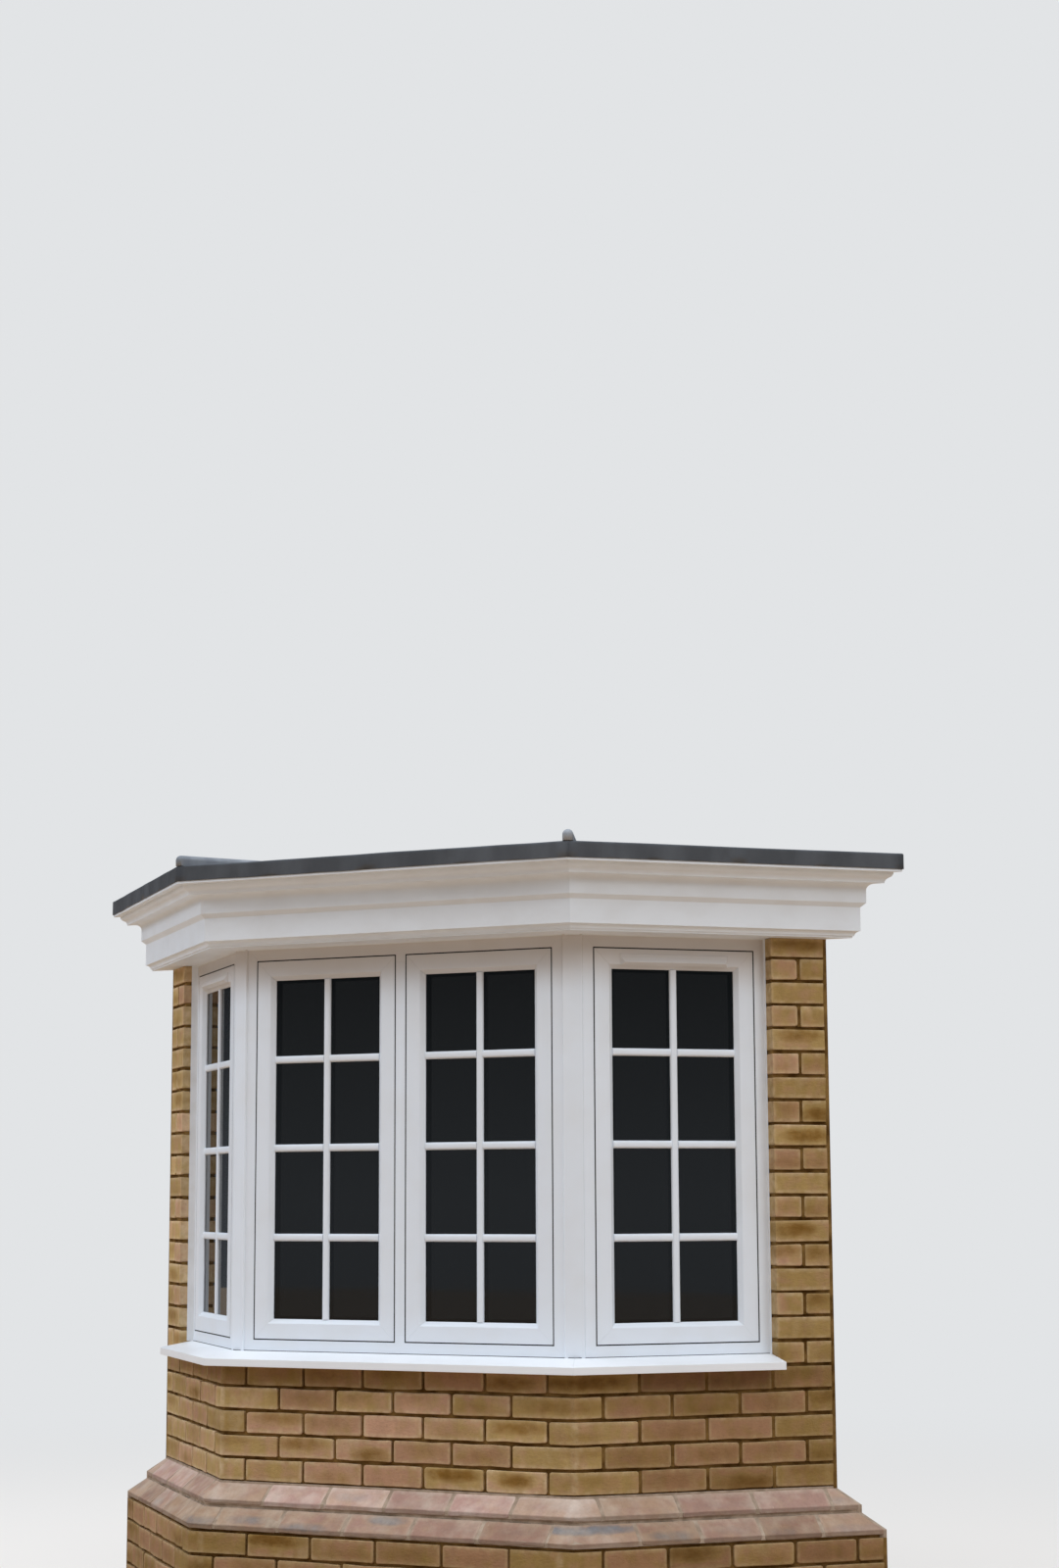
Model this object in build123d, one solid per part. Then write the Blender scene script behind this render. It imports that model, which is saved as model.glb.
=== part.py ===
from build123d import *
import os
from math import cos, radians, sin, tan

# A three-sided bay window with 45 degree splays, from the ground up to its lead roof.
# It ends at the outer face of the house wall, where its back is open to the room.
# Millimetres, +Z up. X runs along the house wall and +Y goes into the house.
# The origin lies on the ground under the middle of the whole bay.

# Plan of the brick face
front_width = 1260.0
projection = 618.0
splay_angle = 45.0

# Brickwork and what stands behind it
course = 75.0
brick_depth = 102.5
cavity = 75.0
block_depth = 100.0
plaster = 12.5
ground_courses = 5
plinth_courses = 2
wall_courses = 5
plinth_step = 56.0
plinth_rise = 51.0
pier_width = 197.0
floor_rise = 150.0

# Window sill and window board
sill_nose_out = 64.0
sill_nose_height = 24.0
sill_nose_drop = 16.0
sill_nose_depth = 16.0
sill_back_rise = 28.0
board_thickness = 25.0
board_overhang = 25.0

# Window frames, seen from outside
window_height = 1303.0
frame_recess = 48.0
frame_depth = 70.0
frame_face = 35.0
outer_face = 39.0
frame_lip = 18.0
mullion_face = 35.0
post_half = 35.0
post_cap = 4.0

# Opening sashes and their glass
sash_gap = 4.0
sash_depth = 50.0
sash_face = 63.0
sash_bevel = 14.0
bead_bevel = 8.0
glass_setback = 18.0
glass_thickness = 24.0
glass_bite = 12.0

# Vent hoods on the two splay sashes
vent_length = 370.0
vent_height = 36.0
vent_out = 14.0
vent_drop = 20.0
vent_lip = 3.0
vent_flange = 9.0
vent_nose = 26.0
vent_taper = 14.0

# Cornice, as steps out from the brick face and rises from its underside
soffit_out = 62.0
soffit_edge = 6.0
bed_mould = 15.0
fascia_out = 82.0
fascia_top = 97.0
band_bottom = 111.0
band_out = 97.0
band_top = 151.0
cove_radius = 20.0
crown_shelf = 24.0
crown_out = 184.0
crown_ledge = 21.0
crown_lip = 9.0
cornice_height = 213.0

# Roof structure
beam_width = 157.0
joist_width = 47.0
joist_spacing = 345.0
joists_each_side = 2
deck_edge = 47.0
deck_out = 184.0
roof_fall = 1 / 40
lead_thickness = 3.0
lead_drip = 1.0
roll_width = 34.0
roll_height = 35.0

# Heights and places that follow from the values above
half_splay = splay_angle / 2
lower_top = ground_courses * course
plinth_top = lower_top + plinth_courses * course
sill_bed = plinth_top + wall_courses * course
sill_top = sill_bed + sill_back_rise
window_top = sill_top + window_height
beam_top = window_top + cornice_height
deck_top = beam_top + deck_edge
plinth_out = plinth_courses * plinth_step
frame_out = -frame_recess
frame_back = frame_out - frame_depth
inner_leaf_out = -brick_depth - cavity
plaster_out = inner_leaf_out - block_depth - plaster
board_out = plaster_out - board_overhang
lead_out = deck_out + lead_thickness
wall_line = (projection + lead_out) / 2
face_line = wall_line - projection
splay_length = projection / sin(radians(splay_angle))
jamb_along = splay_length - pier_width
splay_end = projection / tan(radians(splay_angle))
post_turn = frame_recess * tan(radians(half_splay))
reach = 4 * (front_width + projection)

# A side is a frame on the brick face at the ground: x runs along it and y goes inwards.
# The front side starts at its middle, the right side at the bay's front corner.
right_corner = Vector(front_width / 2, face_line, 0)
right_along = Vector(cos(radians(splay_angle)), sin(radians(splay_angle)), 0)
front = Plane(origin=(0, face_line, 0), x_dir=(1, 0, 0), z_dir=(0, 0, 1))
right = Plane(origin=right_corner, x_dir=right_along, z_dir=(0, 0, 1))

mitre = Plane(origin=right_corner, z_dir=(cos(radians(half_splay)), sin(radians(half_splay)), 0))
left_mitre = Plane(
    origin=(-right_corner.X, right_corner.Y, 0),
    z_dir=(-cos(radians(half_splay)), sin(radians(half_splay)), 0),
)
house_wall = Plane(origin=(0, wall_line, 0), z_dir=(0, -1, 0))


def mirrored(shape):
    """The same piece on the other side of the bay."""
    return mirror(shape, about=Plane.YZ)


def trimmed(shape, side):
    """Cut a piece at the mitres of its side and at the house wall."""
    kept = split(shape, bisect_by=house_wall, keep=Keep.TOP)
    if side is right:
        return split(kept, bisect_by=mitre, keep=Keep.TOP)
    kept = split(kept, bisect_by=mitre, keep=Keep.BOTTOM)
    return split(kept, bisect_by=left_mitre, keep=Keep.BOTTOM)


def run(outline, side):
    """Run a section along a side. Its points are (out from the brick face, height)."""
    section = Plane(origin=side.origin, x_dir=-side.y_dir, z_dir=-side.x_dir)
    return trimmed(extrude(section * outline, amount=reach, both=True), side)


def polygon(points):
    return make_face(Polyline(*points, close=True))


def band(side, inner, outer, bottom, top):
    """A plain upright strip of wall between two offsets from the brick face."""
    return run(polygon([(inner, bottom), (outer, bottom), (outer, top), (inner, top)]), side)


def block(start, end, outer, inner, bottom, top):
    """A box in a side's own frame, from start to end along it."""
    size = (end - start, outer - inner, top - bottom)
    middle = ((start + end) / 2, -(outer + inner) / 2, (top + bottom) / 2)
    return Pos(*middle) * Box(*size)


def outline_at(offset):
    """Plan outline of the bay at an offset from the brick face, closed at the house wall."""
    corner_x = front_width / 2 + offset * tan(radians(half_splay))
    end_x = front_width / 2 + splay_end + offset / sin(radians(splay_angle))
    return [
        (-end_x, wall_line),
        (-corner_x, face_line - offset),
        (corner_x, face_line - offset),
        (end_x, wall_line),
    ]


def slab(offset, bottom, top):
    """A plate that fills the bay's plan at an offset."""
    return Pos(0, 0, bottom) * extrude(polygon(outline_at(offset)), amount=top - bottom)


def jamb_cut(side, keep):
    """The plane across the splay at the edge of the brick pier."""
    origin = side.origin + side.x_dir * jamb_along
    return {"bisect_by": Plane(origin=origin, z_dir=side.x_dir), "keep": keep}


def between_jambs(shape):
    """Cut a piece that crosses the whole bay back to the window jambs."""
    kept = split(shape, **jamb_cut(right, Keep.BOTTOM))
    return mirrored(split(mirrored(kept), **jamb_cut(right, Keep.BOTTOM)))


def plinth_section():
    """Chamfered courses that step the wall out to its wider foot."""
    points = [(plinth_out, lower_top), (-brick_depth, lower_top), (-brick_depth, plinth_top)]
    for step in range(plinth_courses):
        top = plinth_top - step * course
        points.append((step * plinth_step, top))
        points.append(((step + 1) * plinth_step, top - plinth_rise))
    return polygon(points)


def sill_section():
    """Sloping sill with a nose that hangs over the bricks."""
    nose_bottom = sill_bed - sill_nose_drop
    return polygon([
        (frame_back, sill_bed),
        (frame_back, sill_top),
        (frame_out, sill_top),
        (sill_nose_out, nose_bottom + sill_nose_height),
        (sill_nose_out, nose_bottom),
        (sill_nose_out - sill_nose_depth, nose_bottom),
        (sill_nose_out - sill_nose_depth, sill_bed),
    ])


def splay_sill():
    """The sill stops square at the brick pier."""
    return split(run(sill_section(), right), **jamb_cut(right, Keep.BOTTOM))


def window_frame(side, start, end, openings):
    """A frame with a rebated opening for each sash, in one side's frame."""
    frame = block(start, end, frame_out, frame_back, sill_top, window_top)
    for left_edge, right_edge, bottom, top in openings:
        rebate = frame_out - sash_depth
        frame -= block(left_edge, right_edge, frame_out, rebate, bottom, top)
        frame -= block(left_edge + frame_lip, right_edge - frame_lip, rebate, frame_back,
                       bottom + frame_lip, top - frame_lip)
    return side * frame


def sash_and_glass(opening):
    """An opening sash with bevelled edges round its glass, in its side's frame."""
    left_edge, right_edge, bottom, top = opening
    back = frame_out - sash_depth
    rim = sash_gap + sash_face
    sash = block(left_edge + sash_gap, right_edge - sash_gap, frame_out, back,
                 bottom + sash_gap, top - sash_gap)
    sash -= block(left_edge + rim, right_edge - rim, frame_out, back, bottom + rim, top - rim)
    front_face = sash.faces().sort_by(Axis.Y)[0]
    sash = chamfer(front_face.inner_wires()[0].edges(), sash_bevel)
    back_face = sash.faces().sort_by(Axis.Y)[-1]
    sash = chamfer(back_face.inner_wires()[0].edges(), bead_bevel)
    edge = rim - glass_bite
    glass_face = frame_out - glass_setback
    glass = block(left_edge + edge, right_edge - edge, glass_face, glass_face - glass_thickness,
                  bottom + edge, top - edge)
    return sash - glass, glass


def vent_hood(opening):
    """A hood with tapered ends over the vent slot in the top rail of a sash."""
    left_edge, right_edge, _, top = opening
    start = (left_edge + right_edge - vent_length) / 2
    end = start + vent_length
    hood_top = top - vent_drop
    hood_bottom = hood_top - vent_height
    lip = frame_out + vent_lip
    nose = frame_out + vent_out
    outline = polygon([
        (frame_out, hood_bottom),
        (lip, hood_bottom),
        (nose, hood_top - vent_nose),
        (lip, hood_top - vent_flange),
        (lip, hood_top),
        (frame_out, hood_top),
    ])
    section = Plane(origin=(end, 0, 0), x_dir=(0, -1, 0), z_dir=(-1, 0, 0))
    plan = polygon([(start, -frame_out), (start + vent_taper, -nose),
                    (end - vent_taper, -nose), (end, -frame_out)])
    tapered = Pos(0, 0, hood_bottom) * extrude(plan, amount=vent_height, dir=(0, 0, 1))
    return extrude(section * outline, amount=vent_length) & tapered


def corner_post():
    """The post between two frames: a flat cap outside and a mitred back."""
    cap_edge = post_half - post_cap
    back_turn = -frame_back * tan(radians(half_splay))

    def on_front(along, out):
        return front.from_local_coords(Vector(front_width / 2 - along, -out, 0))

    def on_splay(along, out):
        return right.from_local_coords(Vector(along, -out, 0))

    start = post_turn + post_half
    capped = post_turn + cap_edge
    points = [
        on_front(start, frame_out),
        on_front(start, frame_back),
        on_front(back_turn, frame_back),
        on_splay(start, frame_back),
        on_splay(start, frame_out),
        on_splay(capped, frame_out + post_cap),
        on_front(capped, frame_out + post_cap),
    ]
    plan = make_face(Polyline(*points, close=True))
    return Pos(0, 0, sill_top) * extrude(plan, amount=window_height, dir=(0, 0, 1))


def cornice_section():
    """Soffit, bed mould, fascia, band, cove, ogee and crown lip, from the window frames outwards."""
    base = window_top
    bed_bottom = base + soffit_edge
    bed_in = fascia_out - bed_mould
    shelf = base + band_top + cove_radius
    cove_end = band_out + cove_radius
    shelf_end = cove_end + crown_shelf
    crown_top = base + cornice_height - crown_lip
    ledge = crown_out - crown_ledge
    middle = ((shelf_end + ledge) / 2, (shelf + crown_top) / 2)
    lower = Polyline(
        (frame_out, base),
        (soffit_out, base),
        (soffit_out, bed_bottom),
        (bed_in, bed_bottom),
    )
    bed = RadiusArc((bed_in, bed_bottom), (fascia_out, bed_bottom + bed_mould), bed_mould)
    face = Polyline(
        (fascia_out, bed_bottom + bed_mould),
        (fascia_out, base + fascia_top),
        (band_out, base + band_bottom),
        (band_out, base + band_top),
    )
    cove = RadiusArc((band_out, base + band_top), (cove_end, shelf), cove_radius)
    shelf_line = Line((cove_end, shelf), (shelf_end, shelf))
    hollow = TangentArc((shelf_end, shelf), middle, tangent=(0, 1))
    swell = TangentArc(middle, (ledge, crown_top), tangent=hollow % 1)
    upper = Polyline(
        (ledge, crown_top),
        (crown_out, crown_top),
        (crown_out, base + cornice_height),
        (frame_out, base + cornice_height),
        (frame_out, base),
    )
    return make_face([*lower.edges(), *bed.edges(), *face.edges(), *cove.edges(),
                      *shelf_line.edges(), *hollow.edges(), *swell.edges(), *upper.edges()])


def roof_deck():
    """Boards and tapered battens, which fall to all three sides."""
    rise = roof_fall * (projection + deck_out)
    deck = slab(deck_out, beam_top, deck_top + rise)
    back_out = deck_out - reach
    slope = polygon([(deck_out, deck_top), (deck_out, deck_top + reach),
                     (back_out, deck_top + reach), (back_out, deck_top + roof_fall * reach)])
    for side in (front, right):
        section = Plane(origin=side.origin, x_dir=-side.y_dir, z_dir=-side.x_dir)
        above = extrude(section * slope, amount=reach, both=True)
        deck -= above
        if side is right:
            deck -= mirrored(above)
    return deck


def lead_section():
    """A sheet over the deck that turns down over its edge."""
    foot = beam_top - lead_drip
    back_out = deck_out - reach
    lift = roof_fall * reach
    return polygon([
        (deck_out, foot),
        (lead_out, foot),
        (lead_out, deck_top + lead_thickness - roof_fall * lead_thickness),
        (back_out, deck_top + lead_thickness + lift),
        (back_out, deck_top + lift),
        (deck_out, deck_top),
    ])


def lead_roll():
    """A round-topped roll along the hip, with a domed end over the front corner."""
    hip = half_splay
    radius = roll_width / 2
    corner_out = lead_out - radius * cos(radians(hip))
    along = Vector(-sin(radians(hip)), cos(radians(hip)), roof_fall * cos(radians(hip)))
    foot = Vector(
        front_width / 2 + corner_out * tan(radians(hip)),
        face_line - corner_out,
        deck_top + lead_thickness + roof_fall * (deck_out - corner_out),
    )
    across = (-cos(radians(hip)), -sin(radians(hip)), 0)
    section = Plane(origin=foot, x_dir=across, z_dir=along)
    shoulder = roll_height - radius
    arch = Pos(0, shoulder / 2) * Rectangle(roll_width, shoulder) + Pos(0, shoulder) * Circle(radius)
    body = extrude(section * arch, reach)
    body += section * Pos(0, shoulder) * Sphere(radius)
    body += section * Rot(X=-90) * extrude(Circle(radius), shoulder)
    return split(body, bisect_by=house_wall, keep=Keep.TOP)


def roof_joists():
    """Joists from the ledger on the house wall to the beams over the windows."""
    room = slab(frame_out - beam_width, window_top, beam_top)
    joists = []
    for place in range(-joists_each_side, joists_each_side + 1):
        strip = Pos(place * joist_spacing, 0, 0) * Box(joist_width, reach, reach)
        joists.append(split(room & strip, bisect_by=Plane(
            origin=(0, wall_line - joist_width, 0), z_dir=(0, -1, 0)), keep=Keep.TOP))
    return Compound(children=[solid for joist in joists for solid in joist.solids()])


# Openings of the sashes in their sides' frames: left, right, bottom and top
opening_bottom = sill_top + frame_face
opening_top = window_top - outer_face
splay_start = post_turn + post_half
splay_opening = (
    splay_start + frame_face,
    jamb_along - outer_face,
    opening_bottom,
    opening_top,
)
front_end = front_width / 2 - post_turn - post_half
front_openings = [
    (-front_end + frame_face, -mullion_face / 2, opening_bottom, opening_top),
    (mullion_face / 2, front_end - frame_face, opening_bottom, opening_top),
]

parts = {}


def both_sides(name, shape):
    """A node for each side of the bay."""
    parts[name + "_right"] = shape
    parts[name + "_left"] = mirrored(shape)


def pair(name, first, second):
    """Two like pieces that don't touch, in one node."""
    parts[name] = Compound(children=[first, second])


# Brick walls, plinth and inner leaf
parts["lower_wall_front"] = band(front, -brick_depth, plinth_out, 0, lower_top)
both_sides("lower_wall", band(right, -brick_depth, plinth_out, 0, lower_top))
parts["plinth_front"] = run(plinth_section(), front)
both_sides("plinth", run(plinth_section(), right))
parts["upper_wall_front"] = band(front, -brick_depth, 0, plinth_top, sill_bed)
both_sides("upper_wall", band(right, -brick_depth, 0, plinth_top, sill_bed))
pier = band(right, -brick_depth, 0, sill_bed, window_top)
pier = split(pier, **jamb_cut(right, Keep.TOP))
pair("brick_piers", pier, mirrored(pier))
leaf_top = sill_top - board_thickness
parts["inner_leaf_front"] = band(front, plaster_out, inner_leaf_out, 0, leaf_top)
both_sides("inner_leaf", band(right, plaster_out, inner_leaf_out, 0, leaf_top))
parts["floor_slab"] = slab(plaster_out, 0, floor_rise)

# Linings behind the piers, window board and sills
lining = right * block(jamb_along, jamb_along + plaster, -brick_depth, -reach, leaf_top, window_top)
lining = split(lining, bisect_by=house_wall, keep=Keep.TOP)
pair("jamb_linings", lining, mirrored(lining))
board = slab(frame_back, leaf_top, sill_top) - slab(board_out, leaf_top, sill_top)
parts["window_board"] = between_jambs(board)
parts["window_sill_front"] = run(sill_section(), front)
both_sides("window_sill", splay_sill())

# Frames, corner posts, sashes, glass and vents
parts["window_frame_front"] = window_frame(front, -front_end, front_end, front_openings)
splay_frame = window_frame(right, splay_start, jamb_along, [splay_opening])
both_sides("window_frame", splay_frame)
both_sides("corner_post", corner_post())
front_panes = []
for name, opening in zip(("left", "right"), front_openings):
    sash, glass = sash_and_glass(opening)
    parts["sash_front_" + name] = front * sash
    front_panes.append(front * glass)
pair("glass_front", *front_panes)
sash, glass = sash_and_glass(splay_opening)
both_sides("sash_splay", right * sash)
pair("glass_splays", right * glass, mirrored(right * glass))
hood = right * vent_hood(splay_opening)
pair("vent_hoods", hood, mirrored(hood))

# Cornice, roof and ceiling
parts["cornice_front"] = run(cornice_section(), front)
both_sides("cornice", run(cornice_section(), right))
parts["head_beam_front"] = band(front, frame_out - beam_width, frame_out, window_top, beam_top)
both_sides("head_beam", band(right, frame_out - beam_width, frame_out, window_top, beam_top))
ledger = slab(frame_out - beam_width, window_top, beam_top)
parts["wall_ledger"] = split(ledger, bisect_by=Plane(
    origin=(0, wall_line - joist_width, 0), z_dir=(0, 1, 0)), keep=Keep.TOP)
parts["roof_joists"] = roof_joists()
parts["ceiling_board"] = between_jambs(slab(frame_back, window_top - plaster, window_top))
parts["roof_deck"] = roof_deck()
parts["lead_sheet_front"] = run(lead_section(), front)
both_sides("lead_sheet", run(lead_section(), right))
roll = lead_roll()
pair("lead_rolls", roll, mirrored(roll))

os.makedirs("parts", exist_ok=True)
for name, shape in parts.items():
    export_step(shape, f"parts/{name}.step")
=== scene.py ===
"""Looks of a brick bay window: stock brickwork, flush casements, a painted cornice and a lead roof.

Lengths are in metres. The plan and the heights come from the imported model.
"""

import logging
import math
import random
from dataclasses import dataclass, field
from enum import Enum
from typing import Callable, Iterable, Mapping, Sequence

import bmesh
import bpy
from mathutils import Matrix, Vector


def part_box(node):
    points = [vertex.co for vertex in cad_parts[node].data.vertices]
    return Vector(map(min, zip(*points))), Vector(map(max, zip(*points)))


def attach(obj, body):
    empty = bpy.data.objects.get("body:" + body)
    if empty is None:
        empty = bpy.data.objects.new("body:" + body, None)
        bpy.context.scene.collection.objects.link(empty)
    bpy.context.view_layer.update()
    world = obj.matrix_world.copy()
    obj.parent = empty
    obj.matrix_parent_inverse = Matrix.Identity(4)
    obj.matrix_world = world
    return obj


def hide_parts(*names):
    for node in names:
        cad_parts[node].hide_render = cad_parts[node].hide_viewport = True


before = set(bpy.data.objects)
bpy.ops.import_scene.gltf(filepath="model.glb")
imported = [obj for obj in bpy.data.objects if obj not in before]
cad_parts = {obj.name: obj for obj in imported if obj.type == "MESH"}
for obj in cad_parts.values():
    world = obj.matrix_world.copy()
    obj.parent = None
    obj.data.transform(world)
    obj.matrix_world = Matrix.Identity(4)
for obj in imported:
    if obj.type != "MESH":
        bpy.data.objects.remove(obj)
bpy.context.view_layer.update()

LOG = logging.getLogger("bay_window")
BODY = "root"
MM = 0.001
WELD_DISTANCE = 0.01 * MM
FLAT_ANGLE = math.radians(1.0)
SHARP_ANGLE = math.radians(28.0)
CREASE_ANGLE = math.radians(50.0)
FLAT_FACE_WEIGHT = 80
ALIGNED = 0.9
FACING = 0.5
SQUARE = 0.1
UP = Vector((0, 0, 1))

Mesh = bmesh.types.BMesh
Edge = bmesh.types.BMEdge
Socket = bpy.types.NodeSocket
Profile = Sequence[tuple[float, float]]
Station = Callable[[float], Vector]
Span = tuple[float, float]
NOISE_BAND = (0.3, 0.7)


class Side(Enum):
    """The three sides of the bay, with the sign of X where each lies."""

    LEFT = -1
    FRONT = 0
    RIGHT = 1

    @property
    def label(self) -> str:
        """The side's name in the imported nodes."""
        return self.name.lower()


SPLAYS = (Side.LEFT, Side.RIGHT)


# Plan of the bay


@dataclass(frozen=True)
class SideFrame:
    """A side's own axes at the ground: along it, and out from its brick face."""

    origin: Vector
    along: Vector
    out: Vector

    def point(self, along: float, out: float, height: float) -> Vector:
        """The place of a point given in this side's axes."""
        return self.origin + self.along * along + self.out * out + UP * height

    def along_of(self, place: Vector) -> float:
        """How far along the side a place is."""
        return (place - self.origin).dot(self.along)

    def out_of(self, place: Vector) -> float:
        """How far out from the brick face a place is."""
        return (place - self.origin).dot(self.out)

    def extent(self, node: str) -> tuple[Vector, Vector]:
        """Lowest and highest (along, out, height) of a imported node.

        Args:
            node: the node's name.

        Returns:
            Two vectors in this side's axes.
        """
        places = [v.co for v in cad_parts[node].data.vertices]
        columns = list(zip(*((self.along_of(p), self.out_of(p), p.z) for p in places)))
        return Vector([min(c) for c in columns]), Vector([max(c) for c in columns])


@dataclass(frozen=True)
class BayPlan:
    """Plan of the brick face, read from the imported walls."""

    half_width: float
    face_y: float
    wall_y: float
    end_x: float

    @classmethod
    def from_frame(cls) -> "BayPlan":
        """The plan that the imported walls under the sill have.

        Returns:
            The plan.
        """
        front_low, front_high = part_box("upper_wall_front")
        _, splay_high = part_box("upper_wall_right")
        return cls(front_high.x, front_low.y, splay_high.y, splay_high.x)

    @property
    def angle(self) -> float:
        """Angle of the splays to the house wall, in radians."""
        return math.atan2(self.wall_y - self.face_y, self.end_x - self.half_width)

    @property
    def mitre_slope(self) -> float:
        """How far a corner moves along a side for each unit out."""
        return math.tan(self.angle / 2)

    def side(self, side: Side) -> SideFrame:
        """The axes of one side. The front's start is its middle, a splay's its front corner.

        Args:
            side: which side.

        Returns:
            Its frame.
        """
        if side is Side.FRONT:
            return SideFrame(Vector((0, self.face_y, 0)), Vector((1, 0, 0)), Vector((0, -1, 0)))
        sign, angle = side.value, self.angle
        origin = Vector((sign * self.half_width, self.face_y, 0))
        along = Vector((sign * math.cos(angle), math.sin(angle), 0))
        return SideFrame(origin, along, Vector((sign * math.sin(angle), -math.cos(angle), 0)))

    def across(self, side: Side, along: float) -> Station:
        """A station square across a side.

        Args:
            side: which side.
            along: where on it.

        Returns:
            A function from an offset out to a place at ground level.
        """
        axes = self.side(side)
        return lambda out: axes.point(along, out, 0)

    def corner(self, side: Side) -> Station:
        """The mitre station at the corner between the front and a splay.

        Args:
            side: which splay.

        Returns:
            A function from an offset out to a place at ground level.
        """
        sign = side.value
        return lambda out: Vector(
            (sign * (self.half_width + out * self.mitre_slope), self.face_y - out, 0))

    def wall(self, side: Side, back: float = 0.0) -> Station:
        """The station where a splay meets the house wall, or stands back from it.

        Args:
            side: which splay.
            back: how far in front of the wall it stands.

        Returns:
            A function from an offset out to a place at ground level.
        """
        sign, sine = side.value, math.sin(self.angle)
        return lambda out: Vector(
            (sign * (self.end_x - back + out / sine), self.wall_y - back, 0))

    def round_from(self, left: Station, right: Station) -> list[Station]:
        """Stations right round the bay, between two ends given for the left and the right."""
        return [left, self.corner(Side.LEFT), self.corner(Side.RIGHT), right]


# Mesh tools


def sweep(bm: Mesh, profile: Profile, stations: Sequence[Station]) -> None:
    """Runs a closed profile through stations and closes its ends.

    Args:
        bm: the mesh that gets the shape.
        profile: points as (out, height).
        stations: where the profile stands, in order.
    """
    order = bm.verts.layers.int.get("profile") or bm.verts.layers.int.new("profile")
    ring = []
    for index, (out, height) in enumerate(profile):
        vert = bm.verts.new(stations[0](out) + UP * height)
        vert[order] = index
        ring.append(vert)
    cap = bm.faces.new(ring)
    for passed, station in enumerate(stations[1:]):
        grown = bmesh.ops.extrude_face_region(bm, geom=[cap])["geom"]
        if passed:
            bm.faces.remove(cap)
        cap = next(g for g in grown if isinstance(g, bmesh.types.BMFace))
        for vert in cap.verts:
            out, height = profile[vert[order]]
            vert.co = station(out) + UP * height


def face_outward(bm: Mesh) -> None:
    """Turns the faces of every body outward."""
    bm.normal_update()
    bmesh.ops.recalc_face_normals(bm, faces=bm.faces)


def round_over(bm: Mesh, edges: Sequence[Edge], radius: float, segments: int) -> None:
    """Bevels edges to a round.

    Args:
        bm: the mesh.
        edges: which of its edges.
        radius: how far the bevel reaches.
        segments: its steps.
    """
    bmesh.ops.bevel(bm, geom=edges, offset=radius, affect="EDGES", segments=segments,
                    profile=0.5, material=-1, clamp_overlap=True)


def ease(bm: Mesh, radius: float, segments: int = 2,
         chosen: Callable[[Edge], bool] = lambda edge: True) -> None:
    """Rounds the sharp edges of a closed mesh by a small radius.

    Args:
        bm: the mesh.
        radius: how far the bevel reaches.
        segments: its steps.
        chosen: which of the sharp edges are rounded.
    """
    bm.normal_update()
    sharp = [e for e in bm.edges if len(e.link_faces) == 2
             and e.calc_face_angle() > SHARP_ANGLE and chosen(e)]
    round_over(bm, sharp, radius, segments)


def cut_away(bm: Mesh, point: Vector, normal: Vector) -> None:
    """Removes what lies on the side of a plane that its normal points to, and closes the cut.

    Args:
        bm: the mesh.
        point: a point on the plane.
        normal: the plane's normal.
    """
    geom = bm.verts[:] + bm.edges[:] + bm.faces[:]
    cut = bmesh.ops.bisect_plane(bm, geom=geom, dist=WELD_DISTANCE, plane_co=point,
                                 plane_no=normal, clear_outer=True)["geom_cut"]
    rim = [g for g in cut if isinstance(g, Edge) and g.is_boundary]
    if rim:
        bmesh.ops.holes_fill(bm, edges=rim, sides=0)


def merged_copy(node: str) -> Mesh:
    """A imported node's mesh with its corners joined and its flat faces whole.

    Args:
        node: the node's name.

    Returns:
        A new mesh. The node's own stays as it is.
    """
    bm = bmesh.new()
    bm.from_mesh(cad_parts[node].data)
    bmesh.ops.remove_doubles(bm, verts=bm.verts, dist=WELD_DISTANCE)
    bmesh.ops.dissolve_limit(bm, angle_limit=FLAT_ANGLE, verts=bm.verts, edges=bm.edges)
    return bm


def join_into(target: Mesh, part: Mesh) -> None:
    """Moves one mesh's faces into another and frees it.

    Args:
        target: the mesh that gets them.
        part: the mesh that gives them.
    """
    holder = bpy.data.meshes.new("holder")
    part.to_mesh(holder)
    part.free()
    target.from_mesh(holder)
    bpy.data.meshes.remove(holder)


def box_between(bm: Mesh, axes: SideFrame, low: Sequence[float], high: Sequence[float]) -> None:
    """A box given by its corners in a side's axes.

    Args:
        bm: the mesh that gets the box.
        axes: the side's frame.
        low: lowest (along, out, height).
        high: highest (along, out, height).
    """
    low, high = Vector(low), Vector(high)
    size, middle = high - low, (low + high) / 2
    for vert in bmesh.ops.create_cube(bm, size=1.0)["verts"]:
        vert.co = axes.point(*(middle[i] + vert.co[i] * size[i] for i in range(3)))


def prism(bm: Mesh, axes: SideFrame, outline: Profile, low: float, high: float) -> None:
    """An upright prism over an outline in plan.

    Args:
        bm: the mesh that gets the prism.
        axes: the side's frame.
        outline: points as (along, out).
        low: height of its underside.
        high: height of its top.
    """
    base = bm.faces.new([bm.verts.new(axes.point(along, out, low)) for along, out in outline])
    for grown in bmesh.ops.extrude_face_region(bm, geom=[base])["geom"]:
        if isinstance(grown, bmesh.types.BMVert):
            grown.co.z += high - low


def rod(bm: Mesh, start: Vector, end: Vector, radius: float, sides: int) -> None:
    """A round bar between two points.

    Args:
        bm: the mesh that gets the bar.
        start: one end's middle.
        end: the other end's middle.
        radius: its radius.
        sides: how many flats it has.
    """
    reach = end - start
    turn = reach.to_track_quat("Z", "Y").to_matrix().to_4x4()
    place = Matrix.Translation((start + end) / 2) @ turn
    bmesh.ops.create_cone(bm, cap_ends=True, segments=sides, radius1=radius, radius2=radius,
                          depth=reach.length, matrix=place)


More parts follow.
